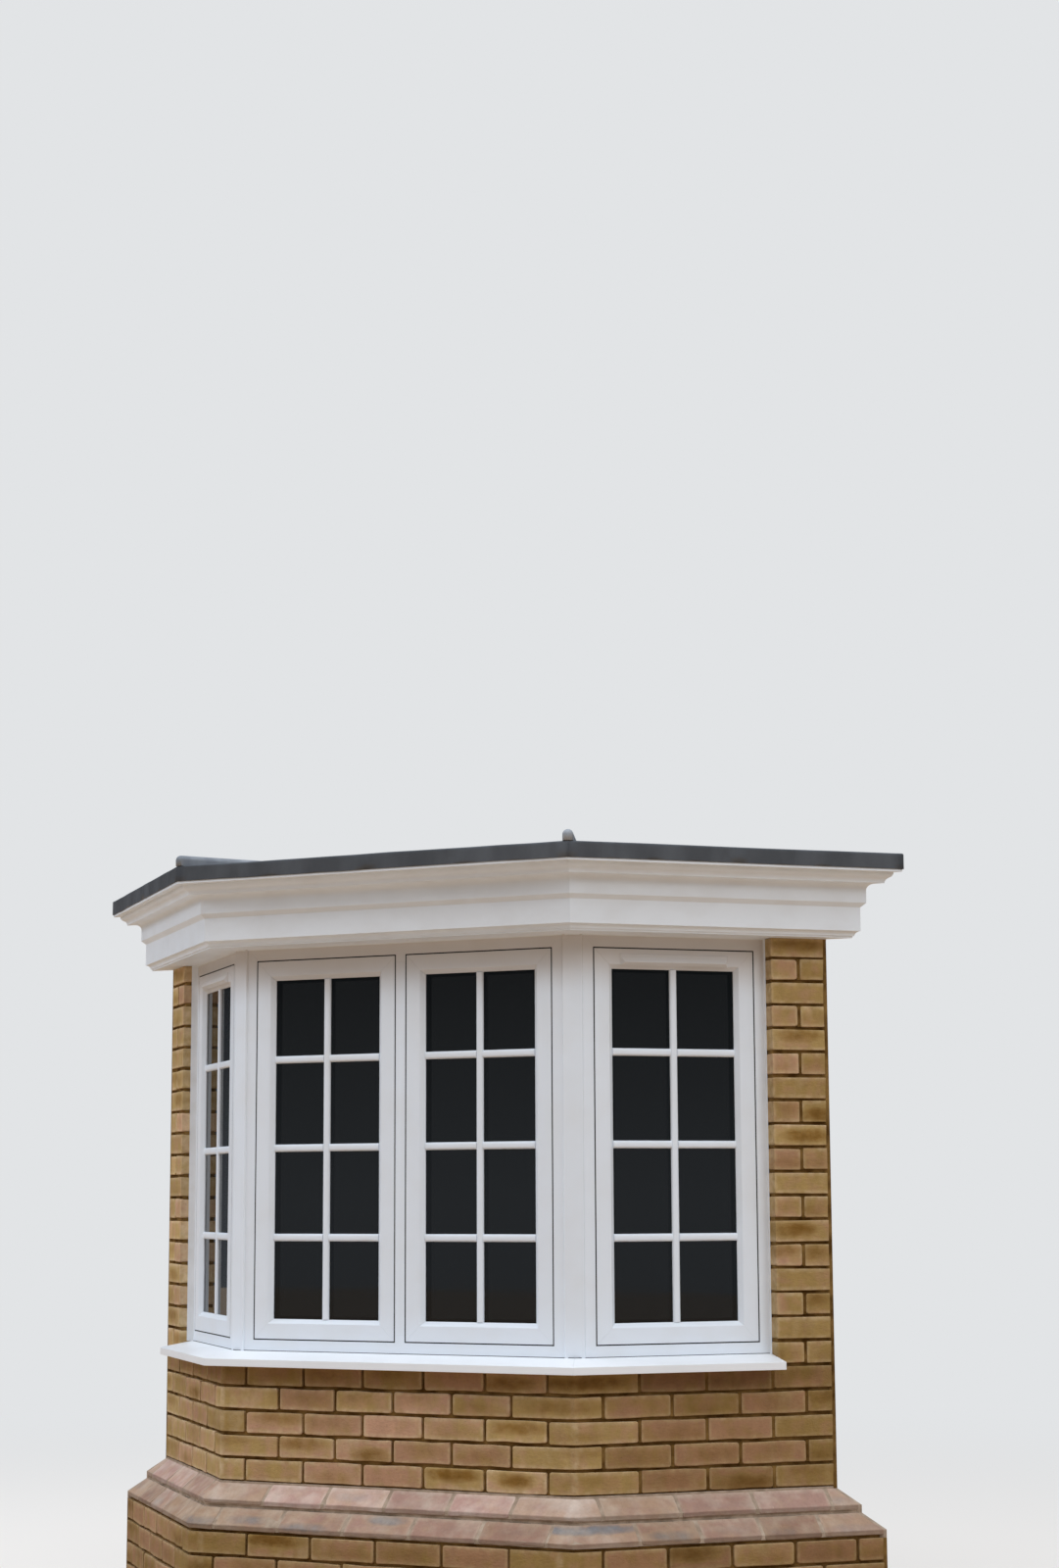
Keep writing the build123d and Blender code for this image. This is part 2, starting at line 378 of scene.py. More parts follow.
def mitre_rail(bm: Mesh, axes: SideFrame, low: Vector, high: Vector, index: int) -> None:
    """Cuts a rectangular frame down to one of its four rails, mitred at its outer corners.

    Args:
        bm: the whole frame's mesh.
        axes: its side's frame.
        low: its lowest corner in the side's axes.
        high: its highest corner in the side's axes.
        index: 0 bottom, 1 right, 2 top or 3 left.
    """
    corners = [(low.x, low.z), (high.x, low.z), (high.x, high.z), (low.x, high.z)]
    inward = [(1, 1), (-1, 1), (-1, -1), (1, -1)]
    following = (index + 1) % len(corners)
    start, end = corners[index], corners[following]
    toward_end = Vector((end[0] - start[0], end[1] - start[1])).normalized()
    for corner, diagonal, sign in ((start, inward[index], 1), (end, inward[following], -1)):
        normal = Vector((diagonal[1], -diagonal[0]))
        if normal.dot(toward_end) * sign > 0:
            normal = -normal
        point = axes.point(corner[0], low.y, corner[1])
        cut_away(bm, point, axes.along * normal.x + UP * normal.y)
    away = (UP, -axes.along, -UP, axes.along)[index]
    cut_away(bm, axes.point(*((low + high) / 2)), away)


def welded_frame(node: str, axes: SideFrame, weld: float,
                 trims: Sequence[tuple[Vector, Vector]] = ()) -> Mesh:
    """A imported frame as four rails, mitred at its corners and eased at the welds.

    Args:
        node: the frame's node.
        axes: its side's frame.
        weld: how far the welds' edges are eased.
        trims: a plane's point and normal for each rail, past which it is cut off too.

    Returns:
        The rails in one mesh.
    """
    low, high = axes.extent(node)
    bm = bmesh.new()
    for index in range(4):
        rail = merged_copy(node)
        mitre_rail(rail, axes, low, high, index)
        if trims:
            cut_away(rail, *trims[index])
        ease(rail, weld)
        join_into(bm, rail)
    return bm


def add_piece(name: str, bm: Mesh, finish: "Finish", stands_for: Iterable[str] = (),
              smooth: bool = True, flat_faces: bool = True) -> None:
    """Makes a piece of the bay from a mesh, dresses it and lets it ride with the bay.

    Args:
        name: the piece's name.
        bm: its mesh, which is freed.
        finish: what it is made of.
        stands_for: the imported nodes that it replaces.
        smooth: whether gentle edges are shaded round.
        flat_faces: whether large faces keep an even shade up to their eased edges.
    """
    face_outward(bm)
    mesh = bpy.data.meshes.new(name)
    bm.to_mesh(mesh)
    bm.free()
    piece = bpy.data.objects.new(name, mesh)
    if smooth:
        mesh.shade_smooth()
        mesh.set_sharp_from_angle(angle=CREASE_ANGLE)
    if smooth and flat_faces:
        weighted = piece.modifiers.new("weighted_normals", "WEIGHTED_NORMAL")
        weighted.keep_sharp = True
        weighted.weight = FLAT_FACE_WEIGHT
    bpy.context.scene.collection.objects.link(piece)
    mesh.materials.append(finish.material())
    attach(piece, BODY)
    nodes = list(stands_for)
    if nodes:
        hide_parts(*nodes)
    LOG.info("%s: %d faces", name, len(mesh.polygons))


# Finishes


def srgb(code: str) -> tuple[float, float, float, float]:
    """A linear colour from an sRGB hex code such as B5935C.

    Args:
        code: six hex digits.

    Returns:
        Red, green, blue and an alpha of 1.
    """
    parts = [int(code[i:i + 2], 16) / 255 for i in (0, 2, 4)]
    linear = [c / 12.92 if c <= 0.04045 else ((c + 0.055) / 1.055) ** 2.4 for c in parts]
    return (*linear, 1.0)


class Node(Enum):
    """The kinds of node in use.

    Each has its type, its own settings, the inputs that are filled in order, and its result.
    """

    ADD = ("ShaderNodeMath", {"operation": "ADD"})
    SUBTRACT = ("ShaderNodeMath", {"operation": "SUBTRACT"})
    MULTIPLY = ("ShaderNodeMath", {"operation": "MULTIPLY"})
    DIVIDE = ("ShaderNodeMath", {"operation": "DIVIDE"})
    POWER = ("ShaderNodeMath", {"operation": "POWER"})
    MAXIMUM = ("ShaderNodeMath", {"operation": "MAXIMUM"})
    ABSOLUTE = ("ShaderNodeMath", {"operation": "ABSOLUTE"})
    GREATER = ("ShaderNodeMath", {"operation": "GREATER_THAN"})
    LENGTH = ("ShaderNodeVectorMath", {"operation": "LENGTH"}, (0,), "Value")
    RANGE = ("ShaderNodeMapRange",)
    SOFT_RANGE = ("ShaderNodeMapRange", {"interpolation_type": "SMOOTHSTEP"})
    BLEND = ("ShaderNodeMix", {"data_type": "RGBA"}, (0, 6, 7), 2)
    TINT = ("ShaderNodeMix", {"data_type": "RGBA", "blend_type": "MULTIPLY"}, (0, 6, 7), 2)
    JOIN_COLOUR = ("ShaderNodeCombineColor",)
    SPLIT_COLOUR = ("ShaderNodeSeparateColor",)
    SPLIT_PLACE = ("ShaderNodeSeparateXYZ",)
    ATTRIBUTE = ("ShaderNodeAttribute", {}, (), "Color")
    FACE_MAP = ("ShaderNodeUVMap",)
    PLACE = ("ShaderNodeTexCoord", {}, (), "Object")
    DIRECTION = ("ShaderNodeTexCoord", {}, (), "Generated")
    MAPPING = ("ShaderNodeMapping", {}, ("Vector", "Location", "Scale"))
    NOISE = ("ShaderNodeTexNoise", {}, ("Vector", "Scale", "Detail", "Roughness"))
    BUMP = ("ShaderNodeBump", {}, ("Height", "Distance", "Strength"))
    RAY = ("ShaderNodeLightPath", {}, (), "Is Camera Ray")
    GLOW = ("ShaderNodeEmission",)
    SKY = ("ShaderNodeBackground",)
    MIX_SHADERS = ("ShaderNodeMixShader",)

    def __init__(self, kind: str, settings: Mapping[str, object] | None = None,
                 inputs: Sequence[int | str] = range(5), result: int | str = 0) -> None:
        """Keeps the parts of the value under their names."""
        self.kind, self.settings, self.inputs, self.result = kind, settings or {}, inputs, result


@dataclass(frozen=True)
class NodeWork:
    """A node tree that is built up node by node."""

    tree: bpy.types.NodeTree

    def add(self, kind: Node, *values: object, **settings: object) -> Socket:
        """Adds a node with its settings and links.

        Args:
            kind: which kind of node.
            values: an output socket or a plain value for each of its inputs, in its kind's order.
            settings: attributes of the node, besides its kind's own.

        Returns:
            The result's socket.
        """
        node = self.tree.nodes.new(kind.kind)
        for key, value in {**kind.settings, **settings}.items():
            setattr(node, key, value)
        self.connect(node, dict(zip(kind.inputs, values)))
        return node.outputs[kind.result]

    def connect(self, node: bpy.types.Node, values: Mapping[int | str, object]) -> None:
        """Links or sets inputs of a node.

        Args:
            node: the node.
            values: input name or number to an output socket or a plain value.
        """
        for key, value in values.items():
            if isinstance(value, Socket):
                self.tree.links.new(value, node.inputs[key])
            else:
                node.inputs[key].default_value = value

    def noise(self, size: float, detail: float = 3.0,
              stretch: tuple[float, float, float] = (1, 1, 1), roughness: float = 0.5,
              shift: object = (0, 0, 0)) -> Socket:
        """Noise over the piece's own coordinates.

        Args:
            size: how large its features are, in millimetres.
            detail: how many finer layers it has.
            stretch: scale along X, Y and Z.
            roughness: how strong the finer layers are.
            shift: moves the pattern, such as by a value of each brick.

        Returns:
            Its value, about 0 to 1.
        """
        turned = self.add(Node.MAPPING, self.add(Node.PLACE), shift, stretch)
        return self.add(Node.NOISE, turned, 1 / (size * MM), detail, roughness)

    def gloss(self, size: float, roughness: float, below: float, above: float) -> Socket:
        """A roughness that wavers in patches.

        Args:
            size: how large the patches are, in millimetres.
            roughness: its usual value.
            below: how far it falls below that.
            above: how far it rises above that.

        Returns:
            The roughness.
        """
        return self.add(Node.RANGE, self.noise(size), *NOISE_BAND, roughness - below,
                        min(1.0, roughness + above))

    def two_tone(self, pattern: Socket, span: Span, first: str, second: str,
                 most: float = 1.0) -> Socket:
        """A colour that goes over to a second one with a pattern.

        Args:
            pattern: the pattern.
            span: its values between which the colour changes.
            first: colour below the span.
            second: colour above it.
            most: how much of the second shows there.

        Returns:
            The colour.
        """
        part = self.add(Node.RANGE, pattern, *span, 0.0, most)
        return self.add(Node.BLEND, part, srgb(first), srgb(second))


@dataclass(frozen=True)
class Finish:
    """A finish, with one material that all its pieces share."""

    name: str
    slot: str

    def material(self) -> bpy.types.Material:
        """The finish's material, made the first time that it is asked for.

        Returns:
            The material.
        """
        made = bpy.data.materials.get(self.name)
        if made is None:
            made = bpy.data.materials.new(self.name)
            made.use_nodes = True
            nodes = NodeWork(made.node_tree)
            nodes.connect(made.node_tree.nodes["Principled BSDF"], self.paint(nodes))
        return made

    def paint(self, nodes: NodeWork) -> dict[str, object]:
        """What the shader's inputs get. Each finish has its own way."""
        raise NotImplementedError


@dataclass(frozen=True)
class BrickValues:
    """What a brick's own corners tell the shader, and where on its face a point is."""

    own: Socket
    kind: Socket
    light: Socket
    warm: Socket
    half: Socket
    across: Socket
    up: Socket


@dataclass(frozen=True)
class StockBrick(Finish):
    """Sand-creased stock brick: pink and buff smears, pale worn arrises, soft brown kiss marks and
    a painted highlight along the arris at the bay's corners.

    Sizes of the patterns are in millimetres.
    """

    pink: str = "C2987C"
    yellow: str = "B59862"
    pale: str = "D8BF9A"
    kiss: str = "8A6429"
    core: str = "805B20"
    # Painted warm bounce light in the darker bricks: its tint.
    painted_bounce_tint: str = "FFF4DA"
    bloom: str = "DACABC"
    mark_rise: float = 0.66
    grain: float = 9.0
    crease: float = 16.0
    smear: float = 48.0
    cloud: float = 60.0
    patch: float = 50.0
    wear: float = 22.0
    edge: float = 14.0
    # Painted highlight on the corner arris: where it starts and where it is full, in millimetres.
    corner: Span = (20.0, 4.0)
    wander: float = 38.0
    drift: float = 1.9
    squareness: Span = (2.6, 2.2)
    rings: tuple[Span, ...] = ((2.8, 0.9), (1.6, 0.0), (0.5, -0.4))
    drag: float = 40.0
    dragged: Span = (0.92, 1.06)
    fleck: Span = (0.96, 1.04)
    speck: float = 0.78
    painted_bounce_span: Span = (1.0, 0.55)
    dirty: Span = (-0.45, -0.62)
    lime_smear: float = 90.0
    lime_spot: float = 20.0
    relief: float = 1.5
    roughness: float = 0.88
    specular: float = 0.25
    lime: float = 0.0
    dirt: float = 0.0

    def paint(self, nodes: NodeWork) -> dict[str, object]:
        """Each brick's own tone comes from its attributes, and its marks from its face's map.

        Args:
            nodes: the material's nodes.

        Returns:
            What the shader's inputs get.
        """
        add = nodes.add
        own = add(Node.ATTRIBUTE, attribute_name="tone")
        face = add(Node.FACE_MAP, uv_map="brick_face")
        brick = BrickValues(own, *add(Node.SPLIT_COLOUR, own).node.outputs[:3],
                            own.node.outputs["Alpha"],
                            *add(Node.SPLIT_PLACE, face).node.outputs[:2])
        clay = add(Node.BLEND, self.rim(nodes, brick), self.body(nodes, brick), srgb(self.pale))
        clay = self.kissed(nodes, brick, clay)
        if self.lime:
            clay = self.limed(nodes, brick, clay)
        # Painted warm bounce light: the darker a brick is set, the more of the warm tint it gets.
        painted_bounce = add(Node.RANGE, brick.light, *self.painted_bounce_span)
        clay = add(Node.TINT, painted_bounce, clay, srgb(self.painted_bounce_tint))
        shade = self.shade(nodes, brick)
        sand = add(Node.MULTIPLY, nodes.noise(self.grain / 3, 2.0), 0.25)
        rough = add(Node.ADD, sand, nodes.noise(self.crease, 3.0, (1, 1, 2.2)))
        return {"Base Color": add(Node.TINT, 1.0, clay, add(Node.JOIN_COLOUR, shade, shade, shade)),
                "Roughness": self.roughness, "Specular IOR Level": self.specular,
                "Normal": add(Node.BUMP, rough, self.relief * MM, 1.0)}

    def body(self, nodes: NodeWork, brick: BrickValues) -> Socket:
        """Pink or buff clay, smeared upright by the mould and mottled.

        Args:
            nodes: the material's nodes.
            brick: the brick's own values.

        Returns:
            The clay's colour.
        """
        add = nodes.add
        smear = nodes.noise(self.smear, 1.0, (1, 1, 0.3), shift=brick.own)
        cloud = nodes.noise(self.cloud, 2.0, (1, 1, 1.6), shift=brick.own)
        both = add(Node.ADD, add(Node.MULTIPLY, smear, 0.9), cloud)
        turn = add(Node.RANGE, both, 0.7, 1.2, -0.5, 0.5)
        mixed = add(Node.ADD, brick.kind, turn, use_clamp=True)
        clay = add(Node.BLEND, mixed, srgb(self.pink), srgb(self.yellow))
        pale = nodes.noise(self.patch, 2.0, (1, 1, 0.7), shift=brick.own)
        pale = add(Node.RANGE, pale, 0.5, 0.72, 0.0, 0.4)
        return add(Node.BLEND, add(Node.MULTIPLY, pale, brick.warm), clay, srgb(self.pale))

    def rim(self, nodes: NodeWork, brick: BrickValues) -> Socket:
        """How pale the brick is near the edges of its face, with a painted highlight along the
        arris at the corner of the bay.

        Args:
            nodes: the material's nodes.
            brick: the brick's own values.

        Returns:
            A value from 0 to 1.
        """
        add = nodes.add
        level = add(Node.SOFT_RANGE, add(Node.ABSOLUTE, brick.up), 0.5, 1.0)
        aside = add(Node.ABSOLUTE, brick.across)
        inset = add(Node.SUBTRACT, brick.half, aside)
        upright = add(Node.SOFT_RANGE, inset, self.edge * MM, 0.0)
        # Painted highlight along the arris at the bay's corner, on the corner bricks only.
        corner = add(Node.SOFT_RANGE, aside, *(reach * MM for reach in self.corner))
        corner = add(Node.MULTIPLY, corner, add(Node.GREATER, brick.half, 0.9))
        either = add(Node.MAXIMUM, add(Node.MAXIMUM, level, upright), corner)
        worn = add(Node.RANGE, nodes.noise(self.wear, shift=brick.own), 0.35, 0.65, 0.2, 0.8)
        return add(Node.MULTIPLY, either, worn)

    def kissed(self, nodes: NodeWork, brick: BrickValues, clay: Socket) -> Socket:
        """The dark mark that a neighbour left in the kiln, with a buff halo round it.

        Args:
            nodes: the material's nodes.
            brick: the brick's own values.
            clay: the colour under the mark.

        Returns:
            The colour with the mark.
        """
        add = nodes.add
        mark = add(Node.ATTRIBUTE, attribute_name="mark")
        strength, centre, reach = add(Node.SPLIT_COLOUR, mark).node.outputs[:3]
        wander = nodes.noise(self.wander, 3.0, (1, 1, 1.5), shift=brick.own)
        drift = add(Node.MULTIPLY, add(Node.SUBTRACT, wander, 0.5), self.drift)
        offset = add(Node.DIVIDE, add(Node.SUBTRACT, brick.across, centre), reach)
        wide = add(Node.POWER, add(Node.ABSOLUTE, offset), self.squareness[0])
        lift = add(Node.SUBTRACT, brick.up, mark.node.outputs["Alpha"])
        lift = add(Node.DIVIDE, lift, self.mark_rise)
        tall = add(Node.POWER, add(Node.ABSOLUTE, lift), self.squareness[1])
        ring = add(Node.ADD, add(Node.ADD, wide, tall), drift)
        for span, colour in zip(self.rings, (self.yellow, self.kiss, self.core)):
            part = add(Node.MULTIPLY, add(Node.SOFT_RANGE, ring, *span), strength)
            clay = add(Node.BLEND, part, clay, srgb(colour))
        return clay

    def limed(self, nodes: NodeWork, brick: BrickValues, clay: Socket) -> Socket:
        """Pale lime washed out of the joints and dried on the slope.

        Args:
            nodes: the material's nodes.
            brick: the brick's own values.
            clay: the colour under the lime.

        Returns:
            The colour with the lime.
        """
        add = nodes.add
        smear = nodes.noise(self.lime_smear, 3.0, (1, 1, 1), 0.55, brick.own)
        smear = add(Node.RANGE, smear, 0.45, 0.75)
        spots = nodes.noise(self.lime_spot, 1.0, shift=brick.own)
        spots = add(Node.RANGE, spots, 0.78, 0.86, 0.0, 0.7)
        wash = add(Node.MAXIMUM, add(Node.MULTIPLY, smear, self.lime), spots)
        return add(Node.BLEND, wash, clay, srgb(self.bloom))

    def shade(self, nodes: NodeWork, brick: BrickValues) -> Socket:
        """How light the surface is, with faint grain, and darker towards the bottom of the face.

        Args:
            nodes: the material's nodes.
            brick: the brick's own values.

        Returns:
            A factor for the colour.
        """
        add = nodes.add
        fleck = add(Node.RANGE, nodes.noise(self.grain, 2.0), *NOISE_BAND, *self.fleck)
        speck = nodes.noise(self.grain / 2, 2.0, (1, 1, 1.3))
        fleck = add(Node.MULTIPLY, fleck, add(Node.RANGE, speck, 0.64, 0.74, 1.0, self.speck))
        drag = nodes.noise(self.drag, 2.0, (1, 1, 0.5), shift=brick.own)
        shade = add(Node.MULTIPLY, fleck, add(Node.RANGE, drag, *NOISE_BAND, *self.dragged))
        shade = add(Node.MULTIPLY, shade, brick.light)
        # Darker towards the bottom of each face; on the plinth bricks that is the nose.
        if self.dirt:
            darker_bottom = add(Node.SOFT_RANGE, brick.up, *self.dirty, 1.0, 1.0 - self.dirt)
            shade = add(Node.MULTIPLY, shade, darker_bottom)
        return shade


@dataclass(frozen=True)
class Mortar(Finish):
    """Sand and cement mortar, struck back from the brick faces and dusty."""

    colour: str = "896A3B"
    dark: str = "543913"
    patch: float = 60.0
    grit: float = 3.0
    relief: float = 1.5
    roughness: float = 0.95
    specular: float = 0.2

    def paint(self, nodes: NodeWork) -> dict[str, object]:
        """Mottled sand with a gritty surface.

        Args:
            nodes: the material's nodes.

        Returns:
            What the shader's inputs get.
        """
        mottle = nodes.noise(self.patch)
        return {"Base Color": nodes.two_tone(mottle, (0.35, 0.65), self.dark, self.colour),
                "Roughness": self.roughness, "Specular IOR Level": self.specular,
                "Normal": nodes.add(Node.BUMP, nodes.noise(self.grit), self.relief * MM, 1.0)}


@dataclass(frozen=True)
class WindowProfile(Finish):
    """Extruded white PVC-U window profile: smooth, with a soft low gloss and faint dust."""

    colour: str = "ECF1F6"
    dust: str = "E6E8E8"
    # Painted shade under the cornice: its warm tint, and the heights over which it comes in.
    painted_cornice_shade_tint: str = "E7DCD2"
    painted_cornice_shade_heights: Span = (2.04, 2.19)
    roughness: float = 0.34
    ior: float = 1.53
    draw: float = 220.0
    relief: float = 0.25
    cloud: float = 160.0
    polish: float = 90.0

    def paint(self, nodes: NodeWork) -> dict[str, object]:
        """Almost even white, with a faint cloud of dust, duller where the cornice keeps rain off.

        Args:
            nodes: the material's nodes.

        Returns:
            What the shader's inputs get.
        """
        add = nodes.add
        cloud = nodes.noise(self.cloud)
        white = nodes.two_tone(cloud, (0.45, 0.75), self.colour, self.dust, 0.6)
        # Painted shade: the white goes warmer and darker from the lower height up to the head under
        # the cornice.
        height = add(Node.SPLIT_PLACE, add(Node.PLACE)).node.outputs[2]
        painted_cornice_shade = add(Node.SOFT_RANGE, height, *self.painted_cornice_shade_heights)
        draw = nodes.noise(self.draw, 1.0, (1, 1, 0.2))
        return {"Base Color": add(Node.TINT, painted_cornice_shade, white, srgb(self.painted_cornice_shade_tint)),
                "Roughness": nodes.gloss(self.polish, self.roughness, 0.05, 0.08), "IOR": self.ior,
                "Normal": add(Node.BUMP, draw, self.relief * MM, 0.4)}


@dataclass(frozen=True)
class PaintedWood(Finish):
    """Planed softwood under white paint, with brush marks along the moulding."""

    colour: str = "F1F0EF"
    shade: str = "E7E3DD"
    roughness: float = 0.46
    brush: float = 9.0
    relief: float = 0.22
    film: float = 130.0
    polish: float = 60.0

    def paint(self, nodes: NodeWork) -> dict[str, object]:
        """Warm white with faint level brush marks and a thin film of dirt.

        Args:
            nodes: the material's nodes.

        Returns:
            What the shader's inputs get.
        """
        film = nodes.noise(self.film, 4.0, (1, 1, 1.6))
        brush = nodes.noise(self.brush, 2.0, (0.06, 0.06, 1))
        return {"Base Color": nodes.two_tone(film, (0.42, 0.75), self.colour, self.shade, 0.7),
                "Roughness": nodes.gloss(self.polish, self.roughness, 0.07, 0.1),
                "Normal": nodes.add(Node.BUMP, brush, self.relief * MM, 1.0)}


@dataclass(frozen=True)
class SheetLead(Finish):
    """Milled sheet lead, dulled by the weather, with pale runs of patina."""

    colour: str = "45484E"
    bloom: str = "585C63"
    roughness: float = 0.52
    metallic: float = 0.35
    dimple: float = 55.0
    relief: float = 2.2
    streak: float = 120.0
    polish: float = 35.0

    def paint(self, nodes: NodeWork) -> dict[str, object]:
        """Dark grey with long pale streaks and dressed dimples.

        Args:
            nodes: the material's nodes.

        Returns:
            What the shader's inputs get.
        """
        streak = nodes.noise(self.streak, 4.0, (1, 1, 0.35))
        dimples = nodes.noise(self.dimple, 2.0)
        return {"Base Color": nodes.two_tone(streak, (0.42, 0.72), self.colour, self.bloom),
                "Roughness": nodes.gloss(self.polish, self.roughness, 0.1, 0.12),
                "Metallic": self.metallic,
                "Normal": nodes.add(Node.BUMP, dimples, self.relief * MM, 0.6)}


@dataclass(frozen=True)
class DoubleGlazing(Finish):
    """Float glass over a dark room, nearly opaque and near black as painted shade for the room:
    mostly reflections, with a little of the room behind.
    """

    colour: str = "080B0C"
    opacity: float = 0.92
    ior: float = 1.52
    specular: float = 0.4
    roll: float = 320.0
    relief: float = 0.6
    film: float = 140.0
    clearness: Span = (0.015, 0.05)

    def paint(self, nodes: NodeWork) -> dict[str, object]:
        """A near-black sheet, nearly opaque as painted shade for the room behind, with a very
        slight roll in it.

        Args:
            nodes: the material's nodes.

        Returns:
            What the shader's inputs get.
        """
        roll = nodes.noise(self.roll, 1.0)
        film = nodes.add(Node.RANGE, nodes.noise(self.film), 0.35, 0.75, *self.clearness)
        # Near-black colour at high opacity: painted shade for the dark room behind the glass.
        return {"Base Color": srgb(self.colour), "Alpha": self.opacity, "IOR": self.ior,
                "Specular IOR Level": self.specular, "Roughness": film,
                "Normal": nodes.add(Node.BUMP, roll, self.relief * MM, 0.25)}


@dataclass(frozen=True)
class Mottled(Finish):
    """A plain matt material with soft mottling, such as plaster, concrete, rubber or board."""

    colour: str = "D9D6CF"
    shade: str = "C9C4BA"
    patch: float = 90.0
    grain: float = 4.0
    depth: float = 0.4
    roughness: float = 0.8
    metallic: float = 0.0

    def paint(self, nodes: NodeWork) -> dict[str, object]:
        """Two close colours in patches, over a fine grain.

        Args:
            nodes: the material's nodes.

        Returns:
            What the shader's inputs get.
        """
        patches = nodes.noise(self.patch, 4.0)
        return {"Base Color": nodes.two_tone(patches, (0.38, 0.66), self.colour, self.shade),
                "Roughness": nodes.gloss(self.patch / 2, self.roughness, 0.06, 0.08),
                "Metallic": self.metallic,
                "Normal": nodes.add(Node.BUMP, nodes.noise(self.grain), self.depth * MM, 1.0)}


@dataclass(frozen=True)
class SawnTimber(Finish):
    """Sawn softwood: straight yellow grain with darker latewood lines and saw marks."""

    colour: str = "C7A06A"
    late: str = "9A7140"
    grain: float = 9.0
    relief: float = 0.5
    roughness: float = 0.8

    def paint(self, nodes: NodeWork) -> dict[str, object]:
        """Grain runs level along the timber.

        Args:
            nodes: the material's nodes.

        Returns:
            What the shader's inputs get.
        """
        line = nodes.noise(self.grain, 4.0, (0.05, 0.05, 1.0))
        return {"Base Color": nodes.two_tone(line, (0.45, 0.62), self.colour, self.late),
                "Roughness": self.roughness,
                "Normal": nodes.add(Node.BUMP, line, self.relief * MM, 1.0)}


YELLOW_BRICK = StockBrick("yellow_stock_brick", "yellow_brick")
PLINTH_BRICK = StockBrick("plinth_brick_pink", "plinth_brick", pink="B69387", yellow="BEA08A",
                          pale="CDB8A8", kiss="85848A", core="94979E", mark_rise=0.42, lime=0.6,
                          dirt=0.3)
WALL_MORTAR = Mortar("struck_mortar", "yellow_brick")
PLINTH_MORTAR = Mortar("pale_plinth_mortar", "plinth_brick", colour="BBA793", dark="9A8774",
                       patch=35.0)
PVC = WindowProfile("white_pvcu", "white_pvc", "EDF3FA", "E8EBEE")
# The sill's PVC is a lighter copy of the window PVC: painted light for its top, which faces the
# sky.
PAINTED_LIGHT_SILL_PVC = WindowProfile("white_pvcu_sill_painted_light", "white_pvc", "F8FAFC", "F1F3F5")
CORNICE_PAINT = PaintedWood("painted_softwood", "painted_moulding", "EFF4F9", "E7EAED")
BOARD_PAINT = PaintedWood("painted_board", "painted_board", "ECECE8", "E2E1DB")
LEAD = SheetLead("sheet_lead", "lead", "53565A", "666A6F")
ROLL_LEAD = SheetLead("roll_lead", "lead", "8A8E94", "B2B5B9", 0.5)
GLASS = DoubleGlazing("float_glass", "window_glass")
PLASTER = Mottled("skim_plaster", "plaster", "DEDBD4", "D2CEC5", 140, 5, 0.3, 0.85)
CONCRETE = Mottled("floated_concrete", "concrete", "A3A19C", "8B8984", 120, 3, 0.9, 0.88)
TIMBER = SawnTimber("sawn_softwood", "sawn_timber")
SEAL_AND_SHADOW = Mottled("black_seal_and_painted_shadow", "white_pvc", "0C0B0A", "141210", 40, 2, 0.1, 0.7)
SPACER = Mottled("grey_spacer_bar", "window_glass", "8E9194", "7C7F82", 60, 3, 0.1, 0.4, 0.6)
SILICONE = Mottled("white_silicone", "white_pvc", "EBEEF2", "E2E4E6", 60, 6, 0.3, 0.45)
HANDLE_METAL = Mottled("white_handle_enamel", "white_pvc", "E4E5E6", "DADADA", 60, 4, 0.05, 0.3)


# Brickwork


@dataclass(frozen=True)
class Gauge:
    """Sizes of the bricks, of their bond and of their wear."""

    course: float = 75 * MM
    joint: float = 10 * MM
    stretcher: float = 225 * MM
    arris: float = 2.8 * MM
    corner: float = 5.6 * MM
    wave: float = 72 * MM
    wander: float = 1.8 * MM
    deepest_wear: float = 2 * MM
    mitre_lean: float = 0.4
    face_recess: float = 11 * MM
    pointed_recess: float = 4 * MM
    pointed_depth: float = 33 * MM
    pointed_width: float = 12 * MM
    back_recess: float = 4 * MM
    chamfer_recess: float = 3 * MM
    nose_recess: float = 7 * MM
    flush_recess: float = 3 * MM
    shelf: float = 6.5 * MM
    wall_bead: float = 8 * MM
    wall_joint: float = 14 * MM
    cut_recess: float = 2 * MM
    plinth_course: float = 71 * MM
    plinth_drop: float = 3 * MM


@dataclass(frozen=True)
class Firing:
    """What a brick's colour, kiln mark and wear are drawn from, and how the sides change them."""

    cut_yellow: Span = (0.72, 1.0)
    yellows: tuple[Span, ...] = ((0.0, 0.15), (0.0, 0.3), (0.3, 0.7), (0.7, 1.0))
    light: Span = (0.86, 1.14)
    marked: float = 0.1
    marked_if_yellow: float = 0.24
    strong: Span = (0.35, 0.95)
    faint: Span = (0.0, 0.25)
    middle: Span = (-0.35, 0.35)
    reach: Span = (0.6, 0.95)
    height: Span = (-0.55, 0.65)
    corner_share: float = 0.3
    left_marks: float = 0.5
    wear: Span = (0.6, 1.4)


@dataclass(frozen=True)
class Bond:
    """Legs of the corner bricks in one course: on the front, on the splay and at the wall."""

    front_leg: float
    splay_leg: float
    wall_leg: float


LONG_FRONT = Bond(215 * MM, 94 * MM, 101 * MM)
SHORT_FRONT = Bond(91 * MM, 213 * MM, 215 * MM)


@dataclass
class Brick:
    """One brick: its section, its stations and how it was fired."""

    profile: Profile
    stations: list[Station]
    axes: SideFrame
    centre: float
    length: float
    corner: Station | None = None
    special: bool = False
    tone: tuple[float, float, float] = (0.0, 1.0, 0.0)
    mark: tuple[float, float, float, float] = (0.0, 0.0, 1.0, 0.0)

    @property
    def low(self) -> float:
        """Height of its underside."""
        return min(height for _, height in self.profile)

    @property
    def high(self) -> float:
        """Height of its top."""
        return max(height for _, height in self.profile)


